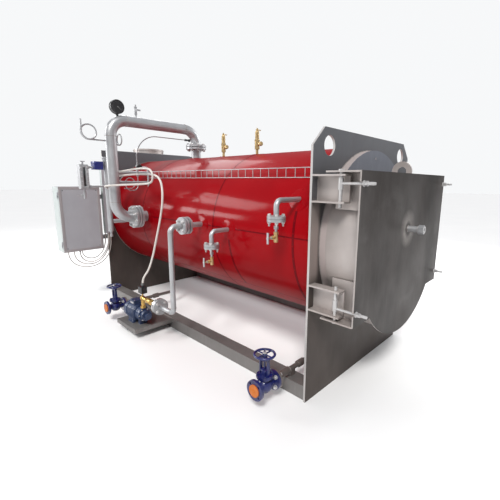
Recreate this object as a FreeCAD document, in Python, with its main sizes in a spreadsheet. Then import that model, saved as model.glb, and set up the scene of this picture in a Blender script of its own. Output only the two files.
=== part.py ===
"""Packaged fire-tube boiler with a hinged front door, in millimetres.

X runs along the boiler towards the door, -Y is the piping side, Z is up and the floor is z = 0.
The origin is in the middle of the front end plate's foot.
"""
import FreeCAD, Part
import math
import os
import re

V = FreeCAD.Vector

# Driving sizes. Distances called *_x are measured from the origin back along the boiler,
# distances called *_y from the axis towards the piping side.
SIZES = {
    # end plates and shell
    "plate_width": 1400, "plate_height": 1740, "plate_thick": 15,
    "corner_across": 114, "corner_down": 112,
    "lift_hole_radius": 60, "lift_hole_y": 531, "lift_hole_z": 1636,
    "rear_plate_x": 2996, "rear_plate_height": 1765,
    "shell_radius": 636, "shell_wall": 10, "axis_height": 1036,
    "seat_gap": 0.3, "moving_gap": 5.3,
    # base rails
    "rail_width": 110, "rail_height": 100, "rail_wall": 6, "rail_outer_y": 685,
    # rear smoke box and flue collar
    "smoke_width": 1040, "smoke_depth": 390, "smoke_bottom": 560, "smoke_top": 1772,
    "smoke_wall": 6, "collar_radius": 190, "collar_wall": 5, "collar_height": 60,
    # front closure and door
    "closure_radius": 605, "closure_depth": 48, "door_radius": 618, "door_wall": 10,
    "door_depth": 246, "face_thick": 9, "face_bottom": 615, "door_top": 1482, "bulge_radius": 650,
    "lining_recess": 22, "door_plate_thick": 9, "arm_back": 90, "gusset_y": 600, "gusset_thick": 10,
    "gusset_back": 105, "upper_gusset_low": 1265, "lower_gusset_high": 851,
    # hinge brackets and swing bolts, the same at the four corners
    "bracket_reach": 213, "bracket_plate": 10, "bracket_inner_y": 635, "web_y": 640,
    "upper_bracket_high": 1463, "upper_bracket_low": 1303,
    "lower_bracket_high": 803, "lower_bracket_low": 640,
    "pin_x": 174, "pin_y": 674, "pin_radius": 10, "pin_fit": 0.08, "pin_overhang": 22,
    "pin_head_radius": 16, "pin_head": 8, "slot_play": 2,
    "eye_radius": 15, "eye_length": 66, "swing_radius": 8, "swing_reach": 375,
    "upper_swing_z": 1413, "lower_swing_z": 692, "swing_slot": 20,
    "nut_across": 24, "nut_length": 22, "washer_radius": 17, "washer_thick": 4,
    "ring_radius": 67, "ring_hole": 31, "ring_thick": 12, "ring_x": 235, "ring_rise": 13,
    "sight_radius": 20, "sight_length": 106, "sight_z": 1115, "sight_cap": 27, "sight_cap_length": 34,
    # steam loop
    "steam_x": 2110, "steam_radius": 50.8, "steam_bend": 152, "steam_side_z": 1063,
    "steam_out_y": 948, "steam_top_z": 1976, "steam_flange_radius": 110, "steam_flange_thick": 20,
    "raised_face": 8, "steam_flange_y": 766, "steam_flange_z": 1800, "steam_bolt_ring": 180,
    "dial_radius": 60, "dial_depth": 44, "dial_y": 873, "dial_z": 2090, "stem_radius": 8,
    "syphon_tube": 7, "syphon_ring": 63, "syphon_z": 1778, "syphon_y": 1141, "syphon_tail": 100,
    "small_ring": 50, "small_ring_y": 868, "small_ring_z": 1800, "vent_y": 690,
    # feed line and pump
    "feed_x": 1160, "feed_radius": 21.2, "feed_bend": 48, "feed_nozzle_z": 1065, "feed_out_y": 935,
    "feed_flange_radius": 70, "feed_flange_thick": 16, "feed_flange_y": 822, "feed_low_z": 352,
    "feed_flange_x": 1380, "pump_x": 1690, "pump_axis_z": 196, "motor_radius": 76,
    "motor_length": 190, "pump_radius": 62, "pump_length": 110, "tray_width": 378, "tray_thick": 6,
    "tray_lip": 40, "tray_out": 375,
    # small branches
    "branch_radius": 16.85, "branch_bend": 38, "branch_flange_radius": 57.5,
    "branch_flange_thick": 16, "branch_out_y": 800,
    "front_branch_x": 176, "front_branch_z": 1309, "front_branch_flange": 1200,
    "rear_branch_x": 815, "rear_branch_z": 1054, "rear_branch_flange": 944,
    "relief_front_x": 1136, "relief_rear_x": 1626, "relief_height": 240,
    # blowdown valves
    "blow_front_x": 164, "blow_front_y": 904, "blow_rear_x": 2210, "blow_rear_y": 980,
    "blow_z": 150, "blow_inner_y": 300, "valve_length": 180, "valve_flange_radius": 67,
    "valve_flange_thick": 18, "valve_bolt_pitch": 50, "cap_radius": 40, "sleeve_radius": 26,
    "sleeve_length": 130, "wheel_radius": 64, "wheel_rise": 210, "wheel_rim": 8,
    # control cabinet and cable duct
    "cabinet_forward": 96, "cabinet_depth": 200, "cabinet_outboard": 90, "cabinet_width": 420,
    "cabinet_low": 632, "cabinet_high": 1350, "cabinet_wall": 2.5, "cabinet_door_thick": 22,
    "duct_depth": 60, "duct_width": 80, "duct_low": 800, "duct_high": 1560, "duct_wall": 2,
    # level controls
    "stand_x": 2400, "stand_y": 890, "stand_radius": 28, "stand_low": 900, "stand_high": 1635,
    "level_upper_z": 1545, "level_lower_z": 1360, "level_pipe_radius": 10,
    "level_y": 1115, "level_width": 80, "level_depth": 60, "level_low": 1335, "level_high": 1568,
    "switch_size": 84, "probe_x": 2260, "probe_y": 865, "probe_radius": 24,
    "probe_share": 0.533019, "probe_height": 153,
    "riser_x": 2224, "riser_y": 537, "riser_z": 1556, "knob_y": 645,
    # cable tray on the shell
    "tray_angle": 40.3, "tray_wire": 2.5, "tray_rise": 65, "rung_pitch": 82, "tray_start": 40,
    "rungs": 29,
    # cords
    "conduit_radius": 9, "cable_radius": 6,
}

doc = FreeCAD.newDocument("boiler")
sheet = doc.addObject("Spreadsheet::Sheet", "Sizes")
for row, (alias, value) in enumerate(SIZES.items(), start=1):
    sheet.set("A%d" % row, alias)
    sheet.set("B%d" % row, str(value))
    sheet.setAlias("B%d" % row, alias)
doc.recompute()

nodes = []


def size(alias):
    """A driving size, read back from the sheet."""
    return float(getattr(sheet, alias))


def bind(feature, prop, text):
    """Tie a property to sheet cells, with aliases written as plain words."""
    feature.setExpression(prop, re.sub(r"[a-z][a-z_]*", lambda word: "Sizes." + word.group(0), str(text)))


def place(feature, x, y, z):
    for axis, text in zip("xyz", (x, y, z)):
        bind(feature, "Placement.Base." + axis, text)
    return feature


def node(label, feature):
    """Name a finished sub-part: its label is also its file's name."""
    feature.Label = label
    nodes.append(feature)
    return feature


def block(name, x, y, z):
    """A box between two faces along each axis."""
    feature = doc.addObject("Part::Box", name)
    for prop, (low, high) in zip(("Length", "Width", "Height"), (x, y, z)):
        bind(feature, prop, "(%s) - (%s)" % (high, low))
    return place(feature, x[0], y[0], z[0])


TURNS = {"X": FreeCAD.Rotation(V(0, 1, 0), 90), "Y": FreeCAD.Rotation(V(1, 0, 0), -90),
         "Z": FreeCAD.Rotation()}


def rod(name, axis, radius, span, centre):
    """A cylinder along an axis from span[0] to span[1]; centre gives its other two coordinates."""
    feature = doc.addObject("Part::Cylinder", name)
    feature.Placement.Rotation = TURNS[axis]
    bind(feature, "Radius", radius)
    bind(feature, "Height", "(%s) - (%s)" % (span[1], span[0]))
    spot = list(centre)
    spot.insert("XYZ".index(axis), span[0])
    return place(feature, *spot)


def hexagon(name, axis, across, span, centre):
    """A hexagonal prism, placed as a rod is."""
    feature = doc.addObject("Part::Prism", name)
    feature.Polygon = 6
    feature.Placement.Rotation = TURNS[axis]
    bind(feature, "Circumradius", "(%s) / 1.7320508" % across)
    bind(feature, "Height", "(%s) - (%s)" % (span[1], span[0]))
    spot = list(centre)
    spot.insert("XYZ".index(axis), span[0])
    return place(feature, *spot)


def union(name, *parts):
    feature = doc.addObject("Part::MultiFuse", name)
    feature.Shapes = list(parts)
    feature.Refine = True
    return feature


def minus(name, base, *tools):
    for number, tool in enumerate(tools):
        cut = doc.addObject("Part::Cut", "%s_cut%d" % (name, number))
        cut.Base = base
        cut.Tool = tool
        base = cut
    return base


def common(name, base, tool):
    feature = doc.addObject("Part::Common", name)
    feature.Base = base
    feature.Tool = tool
    return feature


def made(label, shape):
    """A sub-part whose shape comes from Part's own functions."""
    feature = doc.addObject("Part::Feature", label)
    feature.Shape = shape
    return node(label, feature)


FRONT = "plate_thick / 2"
PLATE_BACK = "-plate_thick / 2"
REAR = "-rear_plate_x"
HALF = "plate_width / 2"


# ---------------------------------------------------------------- end plates, shell and rails

def corner_wedge(name, side):
    """The triangle that leaves the top corner of the front plate sloping."""
    width, height = size("plate_width") / 2, size("plate_height")
    thick = size("plate_thick")
    points = [V(-thick, side * (width - size("corner_across")), height),
              V(-thick, side * width, height - size("corner_down")),
              V(-thick, side * (width + 50), height + 50)]
    face = Part.Face(Part.makePolygon(points + points[:1]))
    feature = doc.addObject("Part::Feature", name)
    feature.Shape = face.extrude(V(2 * thick, 0, 0))
    return feature


def front_end_plate():
    plate = block("front_blank", (PLATE_BACK, FRONT), ("-" + HALF, HALF), (0, "plate_height"))
    tools = [corner_wedge("corner_wedge_%d" % number, side) for number, side in enumerate((-1, 1))]
    for side in ("-", ""):
        tools.append(rod("lift_hole" + ("_far" if side == "" else "_near"), "X", "lift_hole_radius",
                         ("-plate_thick", "plate_thick"), (side + "lift_hole_y", "lift_hole_z")))
    node("front_end_plate", minus("front_plate", plate, *tools))


def rear_end_plate():
    node("rear_end_plate", block("rear_plate", (REAR + " - plate_thick", REAR), ("-" + HALF, HALF),
                                 (0, "rear_plate_height")))


def boiler_shell():
    outer = rod("shell_outer", "X", "shell_radius", (REAR, PLATE_BACK), (0, "axis_height"))
    inner = rod("shell_inner", "X", "shell_radius - shell_wall", (REAR + " - 1", "0"),
                (0, "axis_height"))
    node("boiler_shell", minus("shell", outer, inner))


def base_rails():
    rails = []
    for side, low in (("near", "-rail_outer_y"), ("far", "rail_outer_y - rail_width")):
        high = "%s + rail_width" % low
        outer = block("rail_outer_" + side, (REAR, PLATE_BACK), (low, high), (0, "rail_height"))
        inner = block("rail_inner_" + side, (REAR + " - 1", "0"),
                      (low + " + rail_wall", high + " - rail_wall"),
                      ("rail_wall", "rail_height - rail_wall"))
        rails.append(minus("rail_" + side, outer, inner))
    node("base_rails", union("rails", *rails))


def smoke_box():
    """Welded box behind the rear plate, open upwards through the flue collar."""
    front = REAR + " - plate_thick"
    back = front + " - smoke_depth"
    half = "smoke_width / 2"
    under = "smoke_top - smoke_wall"
    outer = block("smoke_outer", (back, front), ("-" + half, half), ("smoke_bottom", under))
    inner = block("smoke_inner", (back + " + smoke_wall", front + " + 1"),
                  ("-%s + smoke_wall" % half, half + " - smoke_wall"),
                  ("smoke_bottom + smoke_wall", "smoke_top"))
    node("smoke_box_walls", minus("smoke_walls", outer, inner))
    middle = front + " - smoke_depth / 2"
    lid = block("smoke_lid", (back, front), ("-" + half, half), (under, "smoke_top"))
    mouth = rod("smoke_mouth", "Z", "collar_radius - collar_wall", ("smoke_bottom", "smoke_top + 1"),
                (middle, 0))
    node("smoke_box_top", minus("smoke_top_plate", lid, mouth))
    ring = rod("collar_outer", "Z", "collar_radius", ("smoke_top", "smoke_top + collar_height"),
               (middle, 0))
    bead = rod("collar_bead", "Z", "collar_radius + 5",
               ("smoke_top + collar_height - 22", "smoke_top + collar_height - 12"), (middle, 0))
    hole = rod("collar_hole", "Z", "collar_radius - collar_wall",
               ("smoke_top - 1", "smoke_top + collar_height + 1"), (middle, 0))
    node("flue_collar", minus("collar", union("collar_solid", ring, bead), hole))


# ---------------------------------------------------------------- front door

DOOR_BACK = FRONT + " + closure_depth + moving_gap"
FACE_BACK = DOOR_BACK + " + door_depth"
FACE_FRONT = FACE_BACK + " + face_thick"


def front_closure():
    drum = rod("closure_drum", "X", "closure_radius", (FRONT, FRONT + " + closure_depth"),
               (0, "axis_height"))
    lug_low = "axis_height + closure_radius - 62"
    lug = block("closure_lug", (FRONT + " + closure_depth - 2", FRONT + " + closure_depth + 4"),
                (-14, 14), (lug_low, lug_low + " + 16"))
    node("front_closure_drum", union("closure", drum, lug))


def corner_hole(name, side, z):
    """Slot for a swing bolt, open at the face plate's edge."""
    rows = ("%s - swing_slot / 2" % z, "%s + swing_slot / 2" % z)
    across = ("-" + HALF + " - 1", "-pin_y + swing_slot / 2")
    if side == "far":
        across = ("pin_y - swing_slot / 2", HALF + " + 1")
    return block(name, (FACE_BACK + " - 1", FACE_FRONT + " + 1"), across, rows)


def door_shell():
    face = block("face_blank", (FACE_BACK, FACE_FRONT), ("-" + HALF, HALF), ("face_bottom", "door_top"))
    bulge = rod("face_bulge", "X", "bulge_radius", (FACE_BACK, FACE_FRONT), (0, "axis_height"))
    low = block("bulge_keep", (FACE_BACK, FACE_FRONT), ("-" + HALF, HALF), (0, "axis_height"))
    slots = [corner_hole("slot_%s_%d" % (side, number), side, z)
             for side in ("near", "far") for number, z in enumerate(("upper_swing_z", "lower_swing_z"))]
    face_plate = union("face_plate", face, common("bulge_half", bulge, low))
    node("door_face_plate", minus("face", face_plate, *slots))

    top_low = "door_top - door_plate_thick"
    outer = rod("drum_outer", "X", "door_radius", (DOOR_BACK, FACE_BACK), (0, "axis_height"))
    inner = rod("drum_inner", "X", "door_radius - door_wall", (DOOR_BACK + " - 1", FACE_BACK + " + 1"),
                (0, "axis_height"))
    above = block("drum_above", (DOOR_BACK + " - 1", FACE_BACK + " + 1"), ("-" + HALF, HALF),
                  (top_low, "door_top + 400"))
    node("door_drum", minus("drum", outer, inner, above))
    core = rod("lining_core", "X", "door_radius - door_wall", (DOOR_BACK + " + lining_recess", FACE_BACK),
               (0, "axis_height"))
    core_top = block("lining_above", (DOOR_BACK, FACE_BACK + " + 1"), ("-" + HALF, HALF),
                     (top_low, "door_top + 400"))
    node("door_lining", minus("lining", core, core_top))
    node("door_arms", union("arms_and_gussets", door_top_plate(top_low), door_bottom_arms(), door_gussets()))


def pin_hole(name, side, z, radius="pin_radius + pin_fit"):
    return rod(name, "Z", radius, z, (FRONT + " + pin_x", side + "pin_y"))


def door_top_plate(top_low):
    """Flat plate over the drum, reaching out to both hinge lines."""
    middle = block("top_middle", (DOOR_BACK, FACE_BACK), ("-gusset_y", "gusset_y"), (top_low, "door_top"))
    arms = block("top_arms", (FRONT + " + arm_back", FACE_BACK), ("-" + HALF, HALF), (top_low, "door_top"))
    clip = block("top_clip", (DOOR_BACK + " - 1", FRONT + " + arm_back"), ("-" + HALF, HALF),
                 (top_low + " - 1", "door_top + 1"))
    keep = block("top_keep", (DOOR_BACK + " - 2", FACE_BACK), ("-door_radius * 0.7", "door_radius * 0.7"),
                 (top_low + " - 2", "door_top + 2"))
    rear = minus("top_rear", common("top_strip", middle, clip))
    plate = union("top_plate", common("top_strip_keep", rear, keep), arms)
    holes = [pin_hole("top_hole" + tag, side, (top_low + " - 1", "door_top + 1"))
             for tag, side in (("_near", "-"), ("_far", ""))]
    return minus("top", plate, *holes)


def door_bottom_arms():
    """Arm plates under the drum, one each side, shaped to it."""
    rows = ("face_bottom - 4", "face_bottom - 4 + door_plate_thick")
    arms = []
    for tag, side in (("near", "-"), ("far", "")):
        inner, outer = side + "door_radius * 0.66", side + HALF
        across = (outer, inner) if side else (inner, outer)
        plate = block("arm_" + tag, (FRONT + " + arm_back", FACE_BACK), across, rows)
        body = rod("arm_drum_" + tag, "X", "door_radius", (DOOR_BACK, FACE_BACK + " + 1"),
                   (0, "axis_height"))
        hole = pin_hole("arm_hole_" + tag, side, ("face_bottom - 10", "face_bottom + 20"))
        arms.append(minus("bottom_arm_" + tag, plate, body, hole))
    return union("bottom_arms", *arms)


def door_gussets():
    """Upright plates between each arm and the face plate."""
    plates = []
    top_low = "door_top - door_plate_thick"
    low_arm = "face_bottom - 4 + door_plate_thick"
    for tag, side in (("near", "-"), ("far", "")):
        across = ("%sgusset_y - gusset_thick / 2" % side, "%sgusset_y + gusset_thick / 2" % side)
        plates.append(block("gusset_upper_" + tag, (FRONT + " + gusset_back", FACE_BACK), across,
                            ("upper_gusset_low", top_low)))
        plates.append(block("gusset_lower_" + tag, (FRONT + " + gusset_back", FACE_BACK), across,
                            (low_arm, "lower_gusset_high")))
    return union("gussets", *plates)


def lifting_ring():
    centre = (FRONT + " + ring_x", "door_top + ring_rise")
    across = ("-ring_thick / 2", "ring_thick / 2")
    ring = rod("ring_outer", "Y", "ring_radius", across, centre)
    hole = rod("ring_inner", "Y", "ring_hole", ("-ring_thick", "ring_thick"), centre)
    below = block("ring_below", (0, "ring_x * 2"), ("-ring_thick", "ring_thick"), ("door_top - 200", "door_top"))
    node("door_lifting_ring", minus("ring", ring, hole, below))


def sight_tube():
    tube = rod("sight_pipe", "X", "sight_radius", (FACE_FRONT, FACE_FRONT + " + sight_length"),
               (0, "sight_z"))
    cap = hexagon("sight_hex", "X", "sight_cap * 2",
                  (FACE_FRONT + " + sight_length - sight_cap_length", FACE_FRONT + " + sight_length"),
                  (0, "sight_z"))
    node("door_sight_tube", union("sight", tube, cap))


# ---------------------------------------------------------------- hinge brackets, pins and swing bolts

LEVELS = (("upper", "upper_bracket_low", "upper_bracket_high", "upper_swing_z"),
          ("lower", "lower_bracket_low", "lower_bracket_high", "lower_swing_z"))


def hinge_brackets(tag, side):
    """Two shelves and a web at the top and bottom; the far shelves' holes are open to the front."""
    brackets = []
    for level, low, high, _ in LEVELS:
        name = "%s_%s" % (level, tag)
        reach = (FRONT, FRONT + " + bracket_reach")
        inner, outer = side + "bracket_inner_y", side + HALF
        across = (outer, inner) if side else (inner, outer)
        shelves = [block("shelf_%s_%d" % (name, number), reach, across, rows) for number, rows in
                   enumerate(((low, low + " + bracket_plate"), (high + " - bracket_plate", high)))]
        web_rows = (low + " + bracket_plate", high + " - bracket_plate")
        web = block("web_" + name, reach, ("%sweb_y - bracket_plate / 2" % side,
                                           "%sweb_y + bracket_plate / 2" % side), web_rows)
        bracket = union("bracket_" + name, *shelves, web)
        rows = (low + " - 1", high + " + 1")
        if tag == "near":
            tools = [pin_hole("bore_" + name, side, rows)]
        else:
            play = "pin_radius + slot_play"
            tools = [pin_hole("bore_" + name, side, rows, play),
                     block("mouth_" + name, (FRONT + " + pin_x", reach[1] + " + 1"),
                           ("pin_y - (%s)" % play, "pin_y + %s" % play), rows)]
        brackets.append(minus("drilled_" + name, bracket, *tools))
    node("hinge_brackets_" + tag, union("brackets_" + tag, *brackets))


def hinge_pins(tag, side):
    """Round pins with a head above the upper arm and under the lower one."""
    pins = []
    shank_rows = (("upper_bracket_low - pin_overhang", "door_top + seat_gap"),
                  ("face_bottom - 4 - seat_gap", "lower_bracket_high + pin_overhang"))
    heads = (("door_top + seat_gap", "door_top + seat_gap + pin_head"),
             ("face_bottom - 4 - seat_gap - pin_head", "face_bottom - 4 - seat_gap"))
    for number, (shank, head) in enumerate(zip(shank_rows, heads)):
        name = "%s_%d" % (tag, number)
        pins.append(union("pin_" + name, pin_hole("shank_" + name, side, shank, "pin_radius"),
                          pin_hole("head_" + name, side, head, "pin_head_radius")))
    node("hinge_pins_" + tag, union("pins_" + tag, *pins))


def swing_bolts():
    """Eyebolts round the pins, through the face plate's slots, each with a washer and nut."""
    bolts, nuts = [], []
    for tag, side in (("near", "-"), ("far", "")):
        for level, _, _, z in LEVELS:
            name = "%s_%s" % (level, tag)
            shift = "12" if level == "upper" else "-8"
            rows = ("%s - (%s) - eye_length / 2 + 11" % (z, shift),
                    "%s - (%s) + eye_length / 2 + 11" % (z, shift))
            eye = pin_hole("eye_" + name, side, rows, "eye_radius")
            shank = rod("shank_" + name, "X", "swing_radius",
                        (FRONT + " + pin_x + pin_radius + 2", FRONT + " + swing_reach"),
                        (side + "pin_y", z))
            bore = pin_hole("eye_bore_" + name, side, ("%s - 100" % z, "%s + 100" % z))
            bolts.append(minus("bolt_" + name, union("eyebolt_" + name, eye, shank), bore))
            washer = rod("washer_" + name, "X", "washer_radius",
                         (FACE_FRONT, FACE_FRONT + " + washer_thick"), (side + "pin_y", z))
            nut = hexagon("hex_" + name, "X", "nut_across",
                          (FACE_FRONT + " + washer_thick", FACE_FRONT + " + washer_thick + nut_length"),
                          (side + "pin_y", z))
            through = rod("through_" + name, "X", "swing_radius + pin_fit",
                          (FACE_BACK, FACE_FRONT + " + 60"), (side + "pin_y", z))
            nuts.append(minus("nut_" + name, union("nut_stack_" + name, washer, nut), through))
    node("swing_bolts", union("all_bolts", *bolts))
    node("swing_bolt_nuts", union("all_nuts", *nuts))


# ---------------------------------------------------------------- pipework

def path(points, bends):
    """Straight runs joined by tangent arcs; bends holds the radius at each inner point."""
    edges = []
    start = points[0]
    for before, corner, after, radius in zip(points, points[1:], points[2:], bends):
        inward = (corner - before).normalize()
        outward = (after - corner).normalize()
        turn = inward.getAngle(outward)
        reach = radius * math.tan(turn / 2)
        arc_start, arc_end = corner - inward * reach, corner + outward * reach
        middle = corner + (outward - inward).normalize() * (radius / math.cos(turn / 2) - radius)
        if (arc_start - start).Length > 0.05:
            edges.append(Part.LineSegment(start, arc_start).toShape())
        else:
            arc_start = start
        edges.append(Part.Arc(arc_start, middle, arc_end).toShape())
        start = arc_end
    if (points[-1] - start).Length > 0.01:
        edges.append(Part.LineSegment(start, points[-1]).toShape())
    return Part.Wire(edges)


def tube(points, radius, bend):
    """A round bar along a path; bend is one radius or one for each inner point."""
    points = [V(*point) for point in points]
    if len(points) == 2:
        return Part.makeCylinder(radius, (points[1] - points[0]).Length, points[0], points[1] - points[0])
    bends = bend if isinstance(bend, list) else [bend] * (len(points) - 2)
    wire = path(points, bends)
    circle = Part.Wire(Part.Circle(points[0], points[1] - points[0], radius).toShape())
    return wire.makePipeShell([circle], True, False)


def bar(axis, radius, low, high, centre):
    """A plain cylinder shape along X, Y or Z."""
    spot = list(centre)
    spot.insert("XYZ".index(axis), low)
    return Part.makeCylinder(radius, high - low, V(*spot), {"X": V(1, 0, 0), "Y": V(0, 1, 0), "Z": V(0, 0, 1)}[axis])


def brick(x, y, z):
    return Part.makeBox(x[1] - x[0], y[1] - y[0], z[1] - z[0], V(x[0], y[0], z[0]))


def nut_bar(axis, across, low, high, centre):
    """A hexagonal bar along X, Y or Z."""
    corners = []
    for corner in range(7):
        angle = math.radians(60 * corner + 30)
        spot = [centre[0] + across / math.sqrt(3) * math.cos(angle),
                centre[1] + across / math.sqrt(3) * math.sin(angle)]
        spot.insert("XYZ".index(axis), low)
        corners.append(V(*spot))
    along = {"X": V(1, 0, 0), "Y": V(0, 1, 0), "Z": V(0, 0, 1)}[axis]
    return Part.Face(Part.makePolygon(corners)).extrude(along * (high - low))


def fused(*shapes):
    return shapes[0].multiFuse(list(shapes[1:])).removeSplitter()


def off_shell(shape):
    """Shape the end of a branch to the outside of the shell."""
    radius = size("shell_radius") + size("seat_gap")
    keep_out = bar("X", radius, -size("rear_plate_x"), 0, (0, size("axis_height")))
    return shape.cut(keep_out)


def bolt_holes(axis, radius, pitch_radius, count, low, high, centre, first=0.0):
    """The drilled holes of a flange pair."""
    holes = []
    for number in range(count):
        angle = math.radians(first + 360 / count * number)
        spot = (centre[0] + pitch_radius * math.cos(angle), centre[1] + pitch_radius * math.sin(angle))
        holes.append(bar(axis, radius, low, high, spot))
    return holes


def steam_loop():
    """Crown outlet carried over to a flanged branch low on the piping side."""
    x, radius = -size("steam_x"), size("steam_radius")
    flange, thick, raised = size("steam_flange_radius"), size("steam_flange_thick"), size("raised_face")
    face_radius = flange * 0.72
    side_y, side_z = -size("steam_flange_y"), size("steam_side_z")
    top_z, out_y, joint_z = size("steam_top_z"), -size("steam_out_y"), size("steam_flange_z")
    pitch = size("steam_bolt_ring") / 2
    bolts = 8
    disc_2 = (side_y + raised, side_y + raised + thick)
    disc_3 = (disc_2[1] + raised, disc_2[1] + raised + thick)
    side = fused(bar("Y", radius, disc_3[0], 0, (x, side_z)),
                 bar("Y", face_radius, side_y, disc_3[0], (x, side_z)),
                 bar("Y", flange, *disc_2, (x, side_z)), bar("Y", flange, *disc_3, (x, side_z)))
    side = off_shell(side).cut(Part.makeCompound(
        bolt_holes("Y", 9, pitch, bolts, side_y - 40, disc_3[1] + 5, (x, side_z), 22.5)))

    crown = fused(bar("Z", radius, size("axis_height"), joint_z - raised, (x, 0)),
                  bar("Z", face_radius, joint_z - raised, joint_z, (x, 0)),
                  bar("Z", flange, joint_z - raised - thick, joint_z - raised, (x, 0)))
    crown = off_shell(crown).cut(Part.makeCompound(
        bolt_holes("Z", 9, pitch, bolts, joint_z - 60, joint_z + 5, (x, 0), 22.5)))
    made("steam_nozzles", Part.makeCompound([side, crown]))

    route = [(x, side_y - thick / 2, side_z), (x, out_y, side_z), (x, out_y, top_z), (x, 0, top_z),
             (x, 0, joint_z + thick / 2)]
    loop = fused(tube(route, radius, size("steam_bend")),
                 bar("Y", flange, side_y - thick, side_y, (x, side_z)),
                 bar("Z", flange, joint_z, joint_z + thick, (x, 0)))
    loop = loop.cut(Part.makeCompound(
        bolt_holes("Y", 9, pitch, bolts, side_y - thick - 5, side_y + 5, (x, side_z), 22.5)
        + bolt_holes("Z", 9, pitch, bolts, joint_z - 5, joint_z + thick + 5, (x, 0), 22.5)))
    made("steam_loop_pipe", loop)
    return loop


def polygon_turn(centre, radius, first, turns, corners, drift, plane):
    """Corner points of a coil whose arcs touch: plane names its two axes, drift the third one's rise."""
    reach = radius / math.cos(math.pi / corners)
    points = []
    for step in range(int(turns * corners) + 1):
        angle = math.radians(first) + 2 * math.pi * (step + 0.5) / corners
        spot = {plane[0]: centre[plane[0]] + reach * math.cos(angle),
                plane[1]: centre[plane[1]] + reach * math.sin(angle)}
        other = ({"x", "y", "z"} - set(plane)).pop()
        spot[other] = centre[other] + drift * step
        points.append((spot["x"], spot["y"], spot["z"]))
    return points


def steam_fittings(loop):
    """Dial gauge, two syphons and the vent valve on the loop."""
    x, y, z = -size("steam_x"), -size("dial_y"), size("dial_z")
    depth, dial, stem = size("dial_depth"), size("dial_radius"), size("stem_radius")
    gauge = fused(bar("X", dial, x - depth / 2, x + depth / 2, (y, z)),
                  bar("Z", stem, z - dial - 60, z - dial + 8, (x, y)),
                  nut_bar("Z", 22, z - dial - 14, z - dial + 4, (x, y)))
    made("pressure_gauge", gauge.cut(loop))

    wire, ring = size("syphon_tube"), size("syphon_ring")
    low, ring_y = size("syphon_z"), -size("syphon_y")
    corners = 12
    centre = {"x": x, "y": ring_y, "z": low + ring}
    # the coil starts at its lowest point, runs outwards, and ends on its outer side pointing up
    coil = polygon_turn({"x": x, "y": -ring_y, "z": low + ring}, ring, -90, 1.25, corners, 1.6, "yz")
    coil = [(px, -py, pz) for px, py, pz in coil]
    start = (x, -size("steam_out_y") - size("steam_radius") + 5, low)
    tail = (coil[-1][0], coil[-1][1], centre["z"] + size("syphon_tail"))
    syphon = tube([start] + coil[:-1] + [tail], wire, ring).cut(loop)

    small, small_y, small_z = size("small_ring"), -size("small_ring_y"), size("small_ring_z")
    hoop = Part.makeTorus(small, wire - 1, V(x, small_y, small_z), V(0, 1, 0))
    stub = bar("Y", wire, -size("steam_out_y") + 20, small_y, (x, small_z - small))
    made("gauge_syphons", Part.makeCompound([syphon, fused(hoop, stub).cut(loop)]))

    y, base = -size("vent_y"), size("steam_top_z")
    top = base + size("steam_radius")
    vent = fused(bar("Z", 8, base, top + 50, (x, y)), nut_bar("Z", 24, top + 18, top + 40, (x, y)),
                 bar("Z", 15, top + 46, top + 78, (x, y)), nut_bar("Z", 26, top + 78, top + 94, (x, y)),
                 bar("Z", 9, top + 90, top + 112, (x, y)), bar("X", 7, x, x + 30, (y, top + 62)),
                 brick((x + 28, x + 32), (y - 8, y + 34), (top + 55, top + 69)))
    made("vent_valve", vent.cut(loop))


def feed_line():
    """Feed branch, riser and the run back to the pump."""
    x, radius, flange = -size("feed_x"), size("feed_radius"), size("feed_flange_radius")
    thick, joint = size("feed_flange_thick"), -size("feed_flange_y")
    high, low, out = size("feed_nozzle_z"), size("feed_low_z"), -size("feed_out_y")
    raised = 6
    disc_2 = (joint + raised, joint + raised + thick)
    disc_3 = (disc_2[1] + 14, disc_2[1] + 14 + thick)
    nozzle = fused(bar("Y", radius, disc_3[0], 0, (x, high)), bar("Y", flange * 0.6, joint, disc_3[0], (x, high)),
                   bar("Y", flange, *disc_2, (x, high)), bar("Y", flange, *disc_3, (x, high)))
    nozzle = off_shell(nozzle).cut(Part.makeCompound(
        bolt_holes("Y", 8, 50, 4, joint - 5, disc_3[1] + 5, (x, high), 45)))
    made("feed_nozzle", nozzle)

    end = -size("feed_flange_x")
    route = [(x, joint - thick / 2, high), (x, out, high), (x, out, low), (end + thick / 2, out, low)]
    riser = fused(tube(route, radius, size("feed_bend")),
                  bar("Y", flange, joint - thick, joint, (x, high)),
                  bar("X", flange, end, end + thick, (out, low)))
    riser = riser.cut(Part.makeCompound(
        bolt_holes("Y", 8, 50, 4, joint - thick - 5, joint + 5, (x, high), 45)
        + bolt_holes("X", 8, 50, 4, end - 5, end + thick + 5, (out, low), 45)))
    made("feed_riser_pipe", riser)

    pump_x, pump_top = -size("pump_x"), size("pump_axis_z") + size("pump_radius")
    delivery = fused(bar("X", flange, end - thick - raised, end - raised, (out, low)),
                     bar("X", flange * 0.6, end - raised, end, (out, low)),
                     bar("X", 17, end - 110, end - thick, (out, low)))
    delivery = delivery.cut(Part.makeCompound(
        bolt_holes("X", 8, 50, 4, end - thick - raised - 5, end + 5, (out, low), 45)))
    check = fused(delivery, nut_bar("X", 46, end - 150, end - 110, (out, low)), bar("X", 26, end - 190, end - 150, (out, low)),
                  nut_bar("X", 46, end - 225, end - 190, (out, low)), bar("X", 17, pump_x, end - 225, (out, low)),
                  bar("Z", 17, pump_top, low, (pump_x, out)), Part.makeSphere(24, V(pump_x, out, low)),
                  nut_bar("Z", 44, pump_top, pump_top + 22, (pump_x, out)),
                  bar("Z", 7, low, low + 52, (pump_x, out)))
    made("feed_check_line", check)
    return fused(brick((pump_x - 26, pump_x + 40), (out - 27, out + 27), (low + 52, low + 112)),
                 bar("Z", 11, low + 112, low + 126, (pump_x + 16, out)))


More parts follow.
